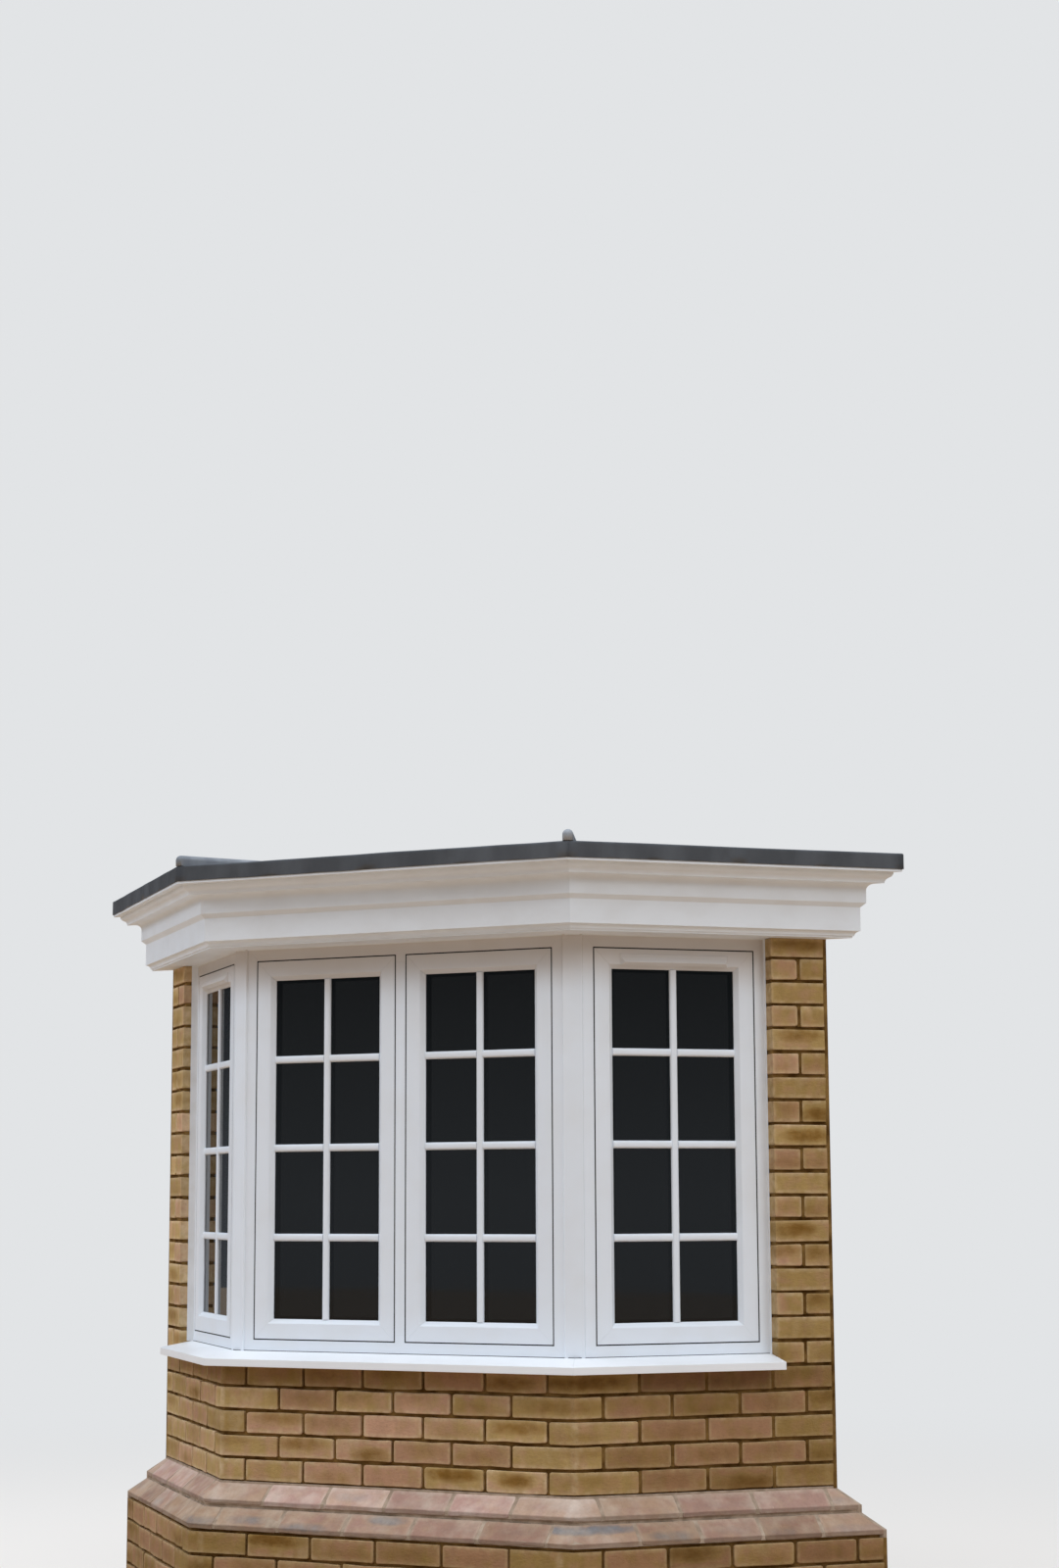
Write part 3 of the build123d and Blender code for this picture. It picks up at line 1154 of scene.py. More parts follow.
@dataclass
class Brickwork:
    """Courses of bricks over a core of mortar, between two heights of the bay."""

    name: str
    plan: BayPlan
    finish: StockBrick
    mortar: Mortar
    out: float
    depth: float
    low: float
    high: float
    nodes: tuple[str, ...]
    gauge: Gauge = field(default_factory=Gauge)
    firing: Firing = field(default_factory=Firing)
    sunk: float = 0.0
    first_long: bool = True
    chamfer: float = 0.0
    rise: float = 0.0
    jamb: float | None = None
    brightness: float = 1.0
    left_shade: float = 1.0
    right_shade: float = 1.0
    top_shade: float = 1.0
    yellowness: float = 1.0
    kissing: float = 1.0
    pointed: tuple[Side, ...] = ()
    core_low: float = 0.0
    core_high: float = 0.0
    flush_top: bool = False
    seed: int = 1

    def section(self, out: float, low: float, high: float) -> Profile:
        """A brick's section, chamfered where the plinth steps in.

        Args:
            out: how far out its face stands.
            low: height of its underside.
            high: height of its top.

        Returns:
            Its points as (out, height).
        """
        inner = self.out - self.depth
        if not self.chamfer:
            return [(inner, low), (out, low), (out, high), (inner, high)]
        nose = high - self.rise
        return [(inner, low), (out, low), (out, nose), (out - self.chamfer, high), (inner, high)]

    def fire(self, brick: Brick, dice: random.Random) -> None:
        """Gives a brick its tone and its kiss mark.

        Args:
            brick: the brick.
            dice: the source of chance.
        """
        firing, at_corner = self.firing, brick.corner is not None
        sideways = round(brick.axes.out.x)
        if brick.special:
            yellow = dice.uniform(*firing.cut_yellow)
        else:
            yellow = dice.choice([dice.uniform(*span) for span in firing.yellows])
        light = dice.uniform(*firing.light) * self.brightness
        if sideways > 0:
            light *= self.right_shade ** firing.corner_share if at_corner else self.right_shade
        elif sideways < 0:
            light *= self.left_shade
        # Painted shade under the sill: the top course is set darker and less yellow.
        if brick.high > self.high - 2 * self.gauge.joint:
            light *= self.top_shade
            yellow *= self.top_shade
        if not at_corner:
            yellow *= self.yellowness
        brick.tone = (yellow, light, dice.random())
        marked = dice.random() < self.kissing * (firing.marked + firing.marked_if_yellow * yellow)
        strength = dice.uniform(*(firing.strong if marked else firing.faint))
        if sideways < 0:
            strength *= firing.left_marks
        half = max(brick.length / 2, self.gauge.stretcher / 3)
        brick.mark = (strength, dice.uniform(*firing.middle) * half,
                      dice.uniform(*firing.reach) * half, dice.uniform(*firing.height))

    def brick(self, side: Side, start: float, end: float, low: float, high: float) -> Brick:
        """A plain brick between two places along a side.

        Args:
            side: which side.
            start: where it starts.
            end: where it ends.
            low: height of its underside.
            high: height of its top.

        Returns:
            The brick.
        """
        count = max(1, round(abs(end - start) / self.gauge.wave))
        stations = [self.plan.across(side, start + (end - start) * step / count)
                    for step in range(count + 1)]
        return Brick(self.section(self.out, low, high), stations, self.plan.side(side),
                     (start + end) / 2, abs(end - start))

    def course_bricks(self, low: float, high: float, bond: Bond) -> list[Brick]:
        """All bricks of one course.

        Args:
            low: height of their underside.
            high: height of their top.
            bond: the legs of its corner bricks.

        Returns:
            The bricks.
        """
        gap = self.gauge.joint / 2
        bricks = []
        half = self.plan.half_width + self.out * self.plan.mitre_slope
        if self.jamb is None:
            room = 2 * (half - bond.front_leg)
            count = round(room / self.gauge.stretcher)
            for index in range(count):
                start = -room / 2 + index * room / count
                bricks.append(
                    self.brick(Side.FRONT, start + gap, start + room / count - gap, low, high))
        for side in SPLAYS:
            bricks += self.splay_bricks(side, half, low, high, bond)
        return bricks

    def perpends(self, side: Side, bond: Bond) -> list[float]:
        """Where the upright joints of a splay's course are, from the corner to the wall.

        Args:
            side: which splay.
            bond: the legs of the course's corner bricks.

        Returns:
            Their places along the splay.
        """
        end = self.plan.side(side).along_of(self.plan.wall(side)(self.out))
        first, last = bond.splay_leg - self.out * self.plan.mitre_slope, end - bond.wall_leg
        count = round((last - first) / self.gauge.stretcher)
        return [first + (last - first) * index / count for index in range(count + 1)]

    def splay_bricks(self, side: Side, half: float, low: float, high: float,
                     bond: Bond) -> list[Brick]:
        """A splay's bricks in one course, with its corner brick and the cut one at the wall.

        Args:
            side: which splay.
            half: half the front's width at the bricks' face.
            low: height of their underside.
            high: height of their top.
            bond: the legs of the course's corner bricks.

        Returns:
            The bricks.
        """
        gap, plan = self.gauge.joint / 2, self.plan
        axes, section = plan.side(side), self.section(self.out, low, high)
        marks = self.perpends(side, bond)
        bricks = []
        if self.jamb is None:
            front_end = side.value * (half - bond.front_leg + gap)
            stations = [plan.across(Side.FRONT, front_end), plan.corner(side),
                        plan.across(side, marks[0] - gap)]
            bricks.append(Brick(section, stations, axes, 0.0, bond.front_leg + bond.splay_leg,
                                plan.corner(side), True))
        jamb = marks[0] if self.jamb is None else self.jamb
        for start, end in zip(marks, marks[1:]):
            first, second = max(start + gap, jamb), end - gap
            if second - first > 3 * self.gauge.joint:
                bricks.append(self.brick(side, first, second, low, high))
        first = max(marks[-1] + gap, jamb)
        end = axes.along_of(plan.wall(side)(self.out))
        stations = [plan.across(side, first), plan.across(side, end + self.depth)]
        bricks.append(Brick(section, stations, axes, (first + end) / 2, end - first, None, True))
        return bricks

    def courses(self) -> Iterable[tuple[float, float, Bond]]:
        """Each course's underside, top and bond, from the lowest up.

        Returns:
            The courses, one by one.
        """
        gauge, long_front = self.gauge, self.first_long
        bottom = self.low - self.sunk
        while bottom + 2 * gauge.joint < self.high:
            bond = LONG_FRONT if long_front else SHORT_FRONT
            yield (max(bottom + gauge.joint, self.low), min(bottom + gauge.course, self.high), bond)
            bottom, long_front = bottom + gauge.course, not long_front

    def point_up(self, bm: Mesh) -> None:
        """Fills the upright joints of the pointed sides almost to the face.

        Args:
            bm: the mortar's mesh.
        """
        gauge, half = self.gauge, self.gauge.pointed_width / 2
        inner, outer = self.out - gauge.pointed_depth, self.out - gauge.pointed_recess
        for low, high, bond in self.courses():
            for side in self.pointed:
                for mark in self.perpends(side, bond):
                    if self.jamb is None or mark > self.jamb + gauge.joint:
                        box_between(bm, self.plan.side(side), (mark - half, inner, low),
                                    (mark + half, outer, high))

    def core_profile(self) -> Profile:
        """The section of the mortar behind the faces of the bricks.

        Returns:
            Its points as (out, height).
        """
        gauge = self.gauge
        inner = self.out - self.depth + gauge.back_recess
        low, high = self.low + self.core_low, self.high + self.core_high
        if not self.chamfer:
            outer = self.out - gauge.face_recess
            return [(inner, low), (outer, low), (outer, high), (inner, high)]
        outer, bed = self.out - gauge.chamfer_recess, self.out - gauge.nose_recess
        nose, bed_top = self.high - self.rise, self.low + gauge.joint
        profile = [(inner, low), (outer, low), (outer, nose), (outer - self.chamfer, high),
                   (inner, high)]
        if not self.core_low:
            profile[1:2] = [(bed, low), (bed, bed_top), (outer, bed_top)]
        if self.flush_top:
            shelf, cover = high + gauge.shelf, -gauge.flush_recess
            profile[-1:] = [(cover, high), (cover, shelf), (inner, shelf)]
        return profile

    def core(self) -> Mesh:
        """The mortar: a body set back from the faces of the bricks, and what fills its joints.

        Returns:
            Its mesh.
        """
        bm = bmesh.new()
        profile = self.core_profile()
        left, right = (self.plan.wall(side, self.gauge.wall_bead) for side in SPLAYS)
        if self.jamb is None:
            sweep(bm, profile, self.plan.round_from(left, right))
        else:
            for side, end in zip(SPLAYS, (left, right)):
                start = self.plan.across(side, self.jamb + self.gauge.back_recess)
                sweep(bm, profile, [start, end])
        self.wall_joint(bm)
        self.point_up(bm)
        return bm

    def wall_joint(self, bm: Mesh) -> None:
        """Lays the joint at the house wall, and the mortar between the cut ends behind it.

        Args:
            bm: the mortar's mesh.
        """
        gauge, low, high = self.gauge, self.low, self.high
        face, back = self.out - gauge.cut_recess, self.out - gauge.wall_joint
        bead = [(back, low), (face, low), (face, high), (back, high)]
        if self.chamfer:
            nose = high - self.rise
            bead[2:] = [(face, nose), (face - self.chamfer, high), (back - self.chamfer, high),
                        (back, nose)]
        for side in SPLAYS:
            start = self.plan.wall(side, gauge.wall_bead)
            sweep(bm, bead, [start, self.plan.wall(side)])
            sweep(bm, self.section(back, low, high),
                  [start, self.plan.wall(side, gauge.cut_recess)])

    def cut_end(self, brick: Brick) -> Mesh:
        """The end of a brick that is cut off level with the house wall, behind the joint there.

        Args:
            brick: the brick.

        Returns:
            Its end's mesh.
        """
        side = Side.RIGHT if brick.axes.out.x > 0 else Side.LEFT
        section = self.section(self.out - self.gauge.wall_joint, brick.low, brick.high)
        bm = bmesh.new()
        sweep(bm, section, [self.plan.wall(side, self.gauge.wall_bead), self.plan.wall(side)])
        face_outward(bm)
        return bm

    def mould(self, brick: Brick, dice: random.Random) -> Mesh:
        """One brick's own mesh, a little out of true, with worn corners and edges.

        Args:
            brick: the brick.
            dice: the source of chance.

        Returns:
            Its mesh.
        """
        gauge = self.gauge
        bm = bmesh.new()
        sweep(bm, brick.profile, brick.stations)
        sag = dice.uniform(-gauge.wander, gauge.wander) / 2
        for vert in bm.verts:
            back = abs(dice.gauss(0, gauge.wander))
            vert.co -= brick.axes.out * min(back, gauge.deepest_wear)
            if vert.co.z < self.high - WELD_DISTANCE:
                vert.co.z += sag + dice.uniform(-gauge.wander, gauge.wander)
        end = self.plan.wall_y - gauge.wall_bead
        if any(v.co.y > end for v in bm.verts):
            cut_away(bm, Vector((0, end, 0)), Vector((0, 1, 0)))
        face_outward(bm)
        outs = [brick.axes.out]
        if brick.corner is not None:
            outs.append(self.plan.side(Side.FRONT).out)
        wear = dice.uniform(*self.firing.wear)

        def runs_inward(edge: Edge) -> bool:
            """Whether an edge of the brick's end runs from its face into the wall."""
            way = (edge.verts[1].co - edge.verts[0].co).normalized()
            return max(abs(way.dot(out)) for out in outs) > ALIGNED

        def on_face(edge: Edge) -> bool:
            """Whether an edge bounds a face that shows."""
            return any(face.normal.dot(out) > FACING for face in edge.link_faces for out in outs)

        ease(bm, gauge.corner * wear, 2, runs_inward)
        ease(bm, gauge.arris * wear, 2, on_face)
        return bm

    def mark_faces(self, bm: Mesh, number: object, bricks: list[Brick]) -> None:
        """Writes each brick's tone, mark and face map to its corners.

        Args:
            bm: the mesh.
            number: the face layer with each brick's number.
            bricks: the bricks in that order.
        """
        tone = bm.loops.layers.float_color.new("tone")
        mark = bm.loops.layers.float_color.new("mark")
        face_map = bm.loops.layers.uv.new("brick_face")
        front, lean = self.plan.side(Side.FRONT), self.gauge.mitre_lean
        for face in bm.faces:
            brick = bricks[face[number]]
            reach = 1.0 if brick.corner is not None else brick.length / 2
            middle, half = (brick.low + brick.high) / 2, (brick.high - brick.low) / 2
            for loop in face.loops:
                place = loop.vert.co
                across = brick.axes.along_of(place) - brick.centre
                if brick.corner is not None:
                    corner = brick.corner(0.0)
                    sign = 1 if corner.x > 0 else -1
                    on_front = (front.along_of(place) - front.along_of(corner)) * sign
                    if across + brick.axes.out_of(place) * lean <= 0:
                        across = on_front
                loop[tone] = (*brick.tone, reach)
                loop[mark] = brick.mark
                loop[face_map].uv = (across, (place.z - middle) / half)

    def build(self) -> None:
        """Lays the bricks and the mortar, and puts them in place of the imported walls."""
        dice = random.Random(self.seed)
        bricks: list[Brick] = []
        for low, high, bond in self.courses():
            bricks += self.course_bricks(low, high, bond)
        bm = bmesh.new()
        number = bm.faces.layers.int.new("brick")
        for index, brick in enumerate(bricks):
            self.fire(brick, dice)
            first = len(bm.faces)
            join_into(bm, self.mould(brick, dice))
            if brick.special and brick.corner is None:
                join_into(bm, self.cut_end(brick))
            bm.faces.ensure_lookup_table()
            for face in bm.faces[first:]:
                face[number] = index
        self.mark_faces(bm, number, bricks)
        add_piece(f"{self.name}_bricks", bm, self.finish, self.nodes)
        add_piece(f"{self.name}_mortar", self.core(), self.mortar, smooth=False)


# Window joinery


@dataclass(frozen=True)
class HandlePart:
    """A rounded block of a handle, measured from the spindle on the stile's inside face."""

    half_width: float
    back: float
    front: float
    below: float
    above: float
    radius: float


@dataclass(frozen=True)
class Joinery:
    """Sizes shared by the frames, sashes and bars."""

    sash_face: float = 63 * MM
    sash_gap: float = 4 * MM
    weld: float = 0.7 * MM
    frame_lip: float = 20 * MM
    bar_width: float = 24 * MM
    bar_depth: float = 9 * MM
    bar_round: float = 7.65 * MM
    bar_steps: int = 4
    bar_pitch: float = 287.5 * MM
    glass_setback: float = 18 * MM
    glass_thickness: float = 24 * MM
    pane: float = 4 * MM
    spacer_width: float = 9 * MM
    # The seal comes almost to the face: a real seal, and painted shadow in the sash gap.
    seal_front: float = 0.7 * MM
    seal_back: float = 16 * MM
    columns: int = 2
    rows: int = 4
    handle: tuple[HandlePart, ...] = (
        HandlePart(13 * MM, 12 * MM, 0.0, 75 * MM, 15 * MM, 4 * MM),
        HandlePart(9 * MM, 44 * MM, 30 * MM, 120 * MM, 9 * MM, 5 * MM),
    )
    spindle: Span = (8 * MM, 36 * MM)
    spindle_radius: float = 8 * MM
    spindle_sides: int = 20
    moulded_edge: float = 0.8 * MM
    sill_edge: float = 1.6 * MM


@dataclass
class Casement:
    """A welded sash with its sealed glass, its glazing bars and its inside handle."""

    name: str
    node: str
    side: Side
    plan: BayPlan
    handle_at_end: bool
    sizes: Joinery = field(default_factory=Joinery)

    def __post_init__(self) -> None:
        """Reads the sash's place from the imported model."""
        self.axes = self.plan.side(self.side)
        self.low, self.high = self.axes.extent(self.node)

    def daylight(self) -> tuple[float, float, float, float]:
        """Left, right, bottom and top of the glass that shows, in the side's axes."""
        face = self.sizes.sash_face
        return (self.low.x + face, self.high.x - face, self.low.z + face, self.high.z - face)

    def glaze(self) -> Mesh:
        """The bars on both faces of the glass: one upright, and level ones butted to it.

        Returns:
            Their mesh.
        """
        left, right, bottom, top = self.daylight()
        sizes = self.sizes
        half = sizes.bar_width / 2
        bm = bmesh.new()
        outer = self.high.y - sizes.glass_setback
        for face, direction in ((outer, 1), (outer - sizes.glass_thickness, -1)):
            crown = face + direction * sizes.bar_depth
            low_out, high_out = min(face, crown), max(face, crown)
            spots = [left + (right - left) * c / sizes.columns for c in range(sizes.columns + 1)]
            for middle in spots[1:-1]:
                self.bar(bm, Vector((middle - half, low_out, bottom)),
                         Vector((middle + half, high_out, top)), direction)
            for row in range(1, sizes.rows):
                height = (bottom + top) / 2 + (row - sizes.rows / 2) * sizes.bar_pitch
                for start, end in zip(spots, spots[1:]):
                    first = start if start == left else start + half - sizes.weld
                    second = end if end == right else end - half + sizes.weld
                    self.bar(bm, Vector((first, low_out, height - half)),
                             Vector((second, high_out, height + half)), direction)
        return bm

    def bar(self, bm: Mesh, low: Vector, high: Vector, direction: int) -> None:
        """One bar with its two outer edges rounded over.

        Args:
            bm: the mesh that gets the bar.
            low: its lowest corner in the side's axes.
            high: its highest corner in the side's axes.
            direction: 1 on the outside of the glass, -1 on the inside.
        """
        part = bmesh.new()
        box_between(part, self.axes, low, high)
        face_outward(part)
        crown = high.y if direction > 0 else low.y
        reach = high - low
        edges = []
        for edge in part.edges:
            ends = [v.co for v in edge.verts]
            on_crown = all(abs(self.axes.out_of(p) - crown) < WELD_DISTANCE for p in ends)
            runs_level = abs(ends[0].z - ends[1].z) < WELD_DISTANCE
            if on_crown and runs_level == (reach.x > reach.z):
                edges.append(edge)
        round_over(part, edges, self.sizes.bar_round, self.sizes.bar_steps)
        join_into(bm, part)

    def spacer(self) -> Mesh:
        """The metal spacer round the edge of the sealed glass, seen through it.

        Returns:
            Its mesh.
        """
        left, right, bottom, top = self.daylight()
        sizes = self.sizes
        outer = self.high.y - sizes.glass_setback - sizes.pane
        inner = outer - sizes.glass_thickness + 2 * sizes.pane
        near, far = left + sizes.spacer_width, right - sizes.spacer_width
        bm = bmesh.new()
        for start, end, low, high in ((left, near, bottom, top), (far, right, bottom, top),
                                      (near, far, bottom, bottom + sizes.spacer_width),
                                      (near, far, top - sizes.spacer_width, top)):
            box_between(bm, self.axes, (start, inner, low), (end, outer, high))
        return bm

    def seal(self) -> Mesh:
        """The black seal in the gap between the sash and its frame, brought almost to the face,
        where it also stands as painted shadow in the gap.

        Returns:
            Its mesh.
        """
        gap, low, high = self.sizes.sash_gap, self.low, self.high
        front, back = high.y - self.sizes.seal_front, high.y - self.sizes.seal_back
        bm = bmesh.new()
        for start, end, bottom, top in ((low.x - gap, low.x, low.z - gap, high.z + gap),
                                        (high.x, high.x + gap, low.z - gap, high.z + gap),
                                        (low.x, high.x, low.z - gap, low.z),
                                        (low.x, high.x, high.z, high.z + gap)):
            box_between(bm, self.axes, (start, back, bottom), (end, front, top))
        return bm

    def handle(self) -> Mesh:
        """A lever handle on the inside face of the stile that opens.

        Returns:
            Its mesh.
        """
        sizes, face = self.sizes, self.low.y
        stile = sizes.sash_face / 2
        along = self.high.x - stile if self.handle_at_end else self.low.x + stile
        middle = (self.low.z + self.high.z) / 2
        bm = bmesh.new()
        for block in sizes.handle:
            part = bmesh.new()
            box_between(part, self.axes,
                        (along - block.half_width, face - block.back, middle - block.below),
                        (along + block.half_width, face - block.front, middle + block.above))
            ease(part, block.radius, 3)
            join_into(bm, part)
        spindle = bmesh.new()
        start, end = (self.axes.point(along, face - depth, middle) for depth in sizes.spindle)
        rod(spindle, start, end, sizes.spindle_radius, sizes.spindle_sides)
        ease(spindle, 1 * MM)
        join_into(bm, spindle)
        return bm

    def build(self) -> None:
        """Makes the sash and what is on it."""
        sash = welded_frame(self.node, self.axes, self.sizes.weld)
        add_piece(f"{self.name}_sash", sash, PVC, [self.node])
        add_piece(f"{self.name}_bars", self.glaze(), PVC, flat_faces=False)
        add_piece(f"{self.name}_spacer", self.spacer(), SPACER, smooth=False)
        add_piece(f"{self.name}_seal", self.seal(), SEAL_AND_SHADOW, smooth=False)
        add_piece(f"{self.name}_handle", self.handle(), HANDLE_METAL)


@dataclass(frozen=True)
class EasedPiece:
    """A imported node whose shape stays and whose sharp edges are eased."""

    node: str
    finish: Finish
    radius: float
    segments: int = 2
    name: str = ""

    def build(self) -> None:
        """Makes the eased piece in the node's place."""
        bm = merged_copy(self.node)
        ease(bm, self.radius, self.segments)
        add_piece(self.name or f"{self.node}_eased", bm, self.finish, [self.node])


@dataclass(frozen=True)
class Mastic:
    """A bead beside a frame: how far it laps the frame, how far it stands out, and its belly."""

    wide: float
    deep: float
    belly: Span = (0.45, 0.3)


@dataclass
class WindowFrames:
    """The fixed frames, the corner posts, the sill, the vents and the seals beside the brick.

    The two thin joints have their points in millimetres, out from the frames' face and up from
    their foot or head.
    """

    plan: BayPlan
    sizes: Joinery = field(default_factory=Joinery)
    left_mastic: Mastic = Mastic(18 * MM, 19 * MM)
    right_mastic: Mastic = Mastic(6 * MM, 4 * MM)
    foot_seal_and_shadow: Profile = ((-2, 0), (0.4, 0), (0.4, 1.8), (-2, 1.8))
    head_joint: Profile = ((-1, -3), (0.5, -3), (3, 0), (-1, 0))

    def __post_init__(self) -> None:
        """Reads the height of the frames and how far out they stand."""
        self.low, self.high = self.plan.side(Side.RIGHT).extent("window_frame_right")

    def front_frame(self, node: str) -> None:
        """The front's frame: four welded lengths and a mullion fixed between two of them.

        Args:
            node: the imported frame.
        """
        axes, lip = self.plan.side(Side.FRONT), self.sizes.frame_lip
        sash_low, sash_high = axes.extent("sash_front_right")
        ahead = Vector((1, 0, 0))
        room = ahead * 2 * (sash_low.x + lip)
        trims = [(UP * (sash_low.z + lip), UP), (room, -ahead),
                 (UP * (sash_high.z - lip), -UP), (-room, ahead)]
        bm = welded_frame(node, axes, self.sizes.weld, trims)
        mullion = merged_copy(node)
        for index in (0, 2, 3, 1):
            point, normal = trims[index]
            cut_away(mullion, point, -normal)
        ease(mullion, self.sizes.weld)
        join_into(bm, mullion)
        add_piece(f"{node}_welded", bm, PVC, [node])

    def sealant(self, side: Side) -> Mesh:
        """A bead of mastic in the corner between the frame and the brick reveal.

        Args:
            side: which splay.

        Returns:
            Its mesh.
        """
        axes = self.plan.side(side)
        low, high = axes.extent(f"window_frame_{side.label}")
        edge, face = high.x, high.y
        bead = self.left_mastic if side is Side.LEFT else self.right_mastic
        lap, (inward, outward) = edge - bead.wide, bead.belly
        outline = [(edge, face - MM), (lap, face - MM), (lap, face + MM),
                   (edge - inward * bead.wide, face + outward * bead.deep),
                   (edge, face + bead.deep)]
        bm = bmesh.new()
        prism(bm, axes, outline, low.z, high.z)
        return bm

    def thin_joint(self, profile: Profile, base: float) -> Mesh:
        """A thin strip right round the windows, from jamb to jamb.

        Args:
            profile: its points in millimetres, out from the frames' face and up from a height.
            base: that height.

        Returns:
            Its mesh.
        """
        bm = bmesh.new()
        left, right = (self.plan.across(side, self.high.x) for side in SPLAYS)
        points = [(self.high.y + out * MM, base + height * MM) for out, height in profile]
        sweep(bm, points, self.plan.round_from(left, right))
        return bm

    def build(self) -> None:
        """Makes every fixed piece of the windows."""
        self.front_frame("window_frame_front")
        for side in SPLAYS:
            node = f"window_frame_{side.label}"
            frame_mesh = welded_frame(node, self.plan.side(side), self.sizes.weld)
            add_piece(f"{node}_welded", frame_mesh, PVC, [node])
            add_piece(f"sealant_{side.label}", self.sealant(side), SILICONE)
            post = f"corner_post_{side.label}"
            EasedPiece(post, PVC, self.sizes.moulded_edge, name=f"{post}_cap").build()
        for side in Side:
            EasedPiece(f"window_sill_{side.label}", PAINTED_LIGHT_SILL_PVC, self.sizes.sill_edge, 3,
                       f"sill_{side.label}").build()
        # A black strip at the frame's foot: a seal, and also the painted shadow line where the
        # frame meets the sill.
        add_piece("sill_joint", self.thin_joint(self.foot_seal_and_shadow, self.low.z), SEAL_AND_SHADOW, smooth=False)
        add_piece("head_joint", self.thin_joint(self.head_joint, self.high.z), SILICONE,
                  smooth=False)
        EasedPiece("vent_hoods", PVC, self.sizes.moulded_edge, name="vent_hoods_moulded").build()


# Roof


@dataclass
class LeadRoof:
    """Lead bays dressed over the deck, with soft dents and a slightly wavy drip."""

    plan: BayPlan
    pitch: float = 45 * MM
    rounds: int = 5
    dent: float = 1.1 * MM
    turn: float = 5 * MM
    turned_down: float = 10 * MM
    waves: tuple[tuple[float, float, float], ...] = (
        (7.1, 3.7, 11.0), (17.3, -13.1, 5.0), (-31.0, 23.0, 17.0))

    def dress_edge(self, bm: Mesh) -> None:
        """Rounds the edge where the sheet is turned down over the deck.

        Args:
            bm: the sheet's mesh.
        """
        bm.normal_update()
        lowest = min(v.co.z for v in bm.verts)
        turned = []
        for edge in bm.edges:
            if len(edge.link_faces) != 2:
                continue
            normals = [face.normal for face in edge.link_faces]
            upward = max(n.z for n in normals) > ALIGNED
            outward = min(abs(n.z) for n in normals) < SQUARE
            ends = [v.co for v in edge.verts]
            inside = max(p.y for p in ends) < self.plan.wall_y - MM or abs(
                ends[0].y - ends[1].y) > MM
            above = min(p.z for p in ends) > lowest + self.turned_down
            if upward and outward and inside and above and self.on_rim(edge, bm):
                turned.append(edge)
        round_over(bm, turned, self.turn, 3)

    def on_rim(self, edge: Edge, bm: Mesh) -> bool:
        """Whether an edge lies along the outer rim of the roof, and not on a mitre.

        Args:
            edge: the edge.
            bm: the sheet's mesh.

        Returns:
            Whether it does.
        """
        axes = [self.plan.side(side) for side in Side]
        outs = [[frame_of.out_of(v.co) for v in edge.verts] for frame_of in axes]
        rim = max(frame_of.out_of(v.co) for v in bm.verts for frame_of in axes)
        return any(abs(a - b) < MM and a > rim - MM for a, b in outs)

    def sheet(self, side: Side) -> None:
        """One bay of lead, cut finely enough to take its dents.

        Args:
            side: which side's bay.
        """
        node = f"lead_sheet_{side.label}"
        bm = merged_copy(node)
        self.dress_edge(bm)
        bmesh.ops.triangulate(bm, faces=bm.faces)
        for _ in range(self.rounds):
            long = [e for e in bm.edges if e.calc_length() > self.pitch]
            if not long:
                break
            bmesh.ops.subdivide_edges(bm, edges=long, cuts=1, use_grid_fill=True)
            bmesh.ops.triangulate(bm, faces=[f for f in bm.faces if len(f.verts) > 3])
        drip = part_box(node)[0].z + MM
        for vert in bm.verts:
            if abs(vert.co.y - self.plan.wall_y) < MM:
                continue
            drop = self.dent * sum(math.sin(vert.co.dot(Vector(wave)) + index) / (index + 1)
                                   for index, wave in enumerate(self.waves))
            vert.co.z += min(drop, 0.0) if vert.co.z < drip else drop * 0.5 - self.dent
        add_piece(f"{node}_dressed", bm, LEAD, [node], flat_faces=False)

    def build(self) -> None:
        """Dresses the three bays and the two rolls."""
        for side in Side:
            self.sheet(side)
        add_piece("lead_rolls_dressed", merged_copy("lead_rolls"), ROLL_LEAD, ["lead_rolls"],
                  flat_faces=False)


# Studio


@dataclass(frozen=True)
class Lamp:
    """A large soft lamp: where it stands, the length of its sides, its watts and its colour."""

    name: str
    place: tuple[float, float, float]
    size: float
    power: float
    colour: str = "FFFFFF"

    def build(self, aim: Vector) -> None:
        """Hangs the lamp.

        Args:
            aim: what it points at.
        """
        data = bpy.data.lights.new(self.name, "AREA")
        data.color = srgb(self.colour)[:3]
        data.size = self.size
        data.energy = self.power
        lamp = bpy.data.objects.new(self.name, data)
        lamp.visible_glossy = False
        lamp.location = self.place
        lamp.rotation_euler = (aim - Vector(self.place)).to_track_quat("-Z", "Y").to_euler()
        bpy.context.scene.collection.objects.link(lamp)


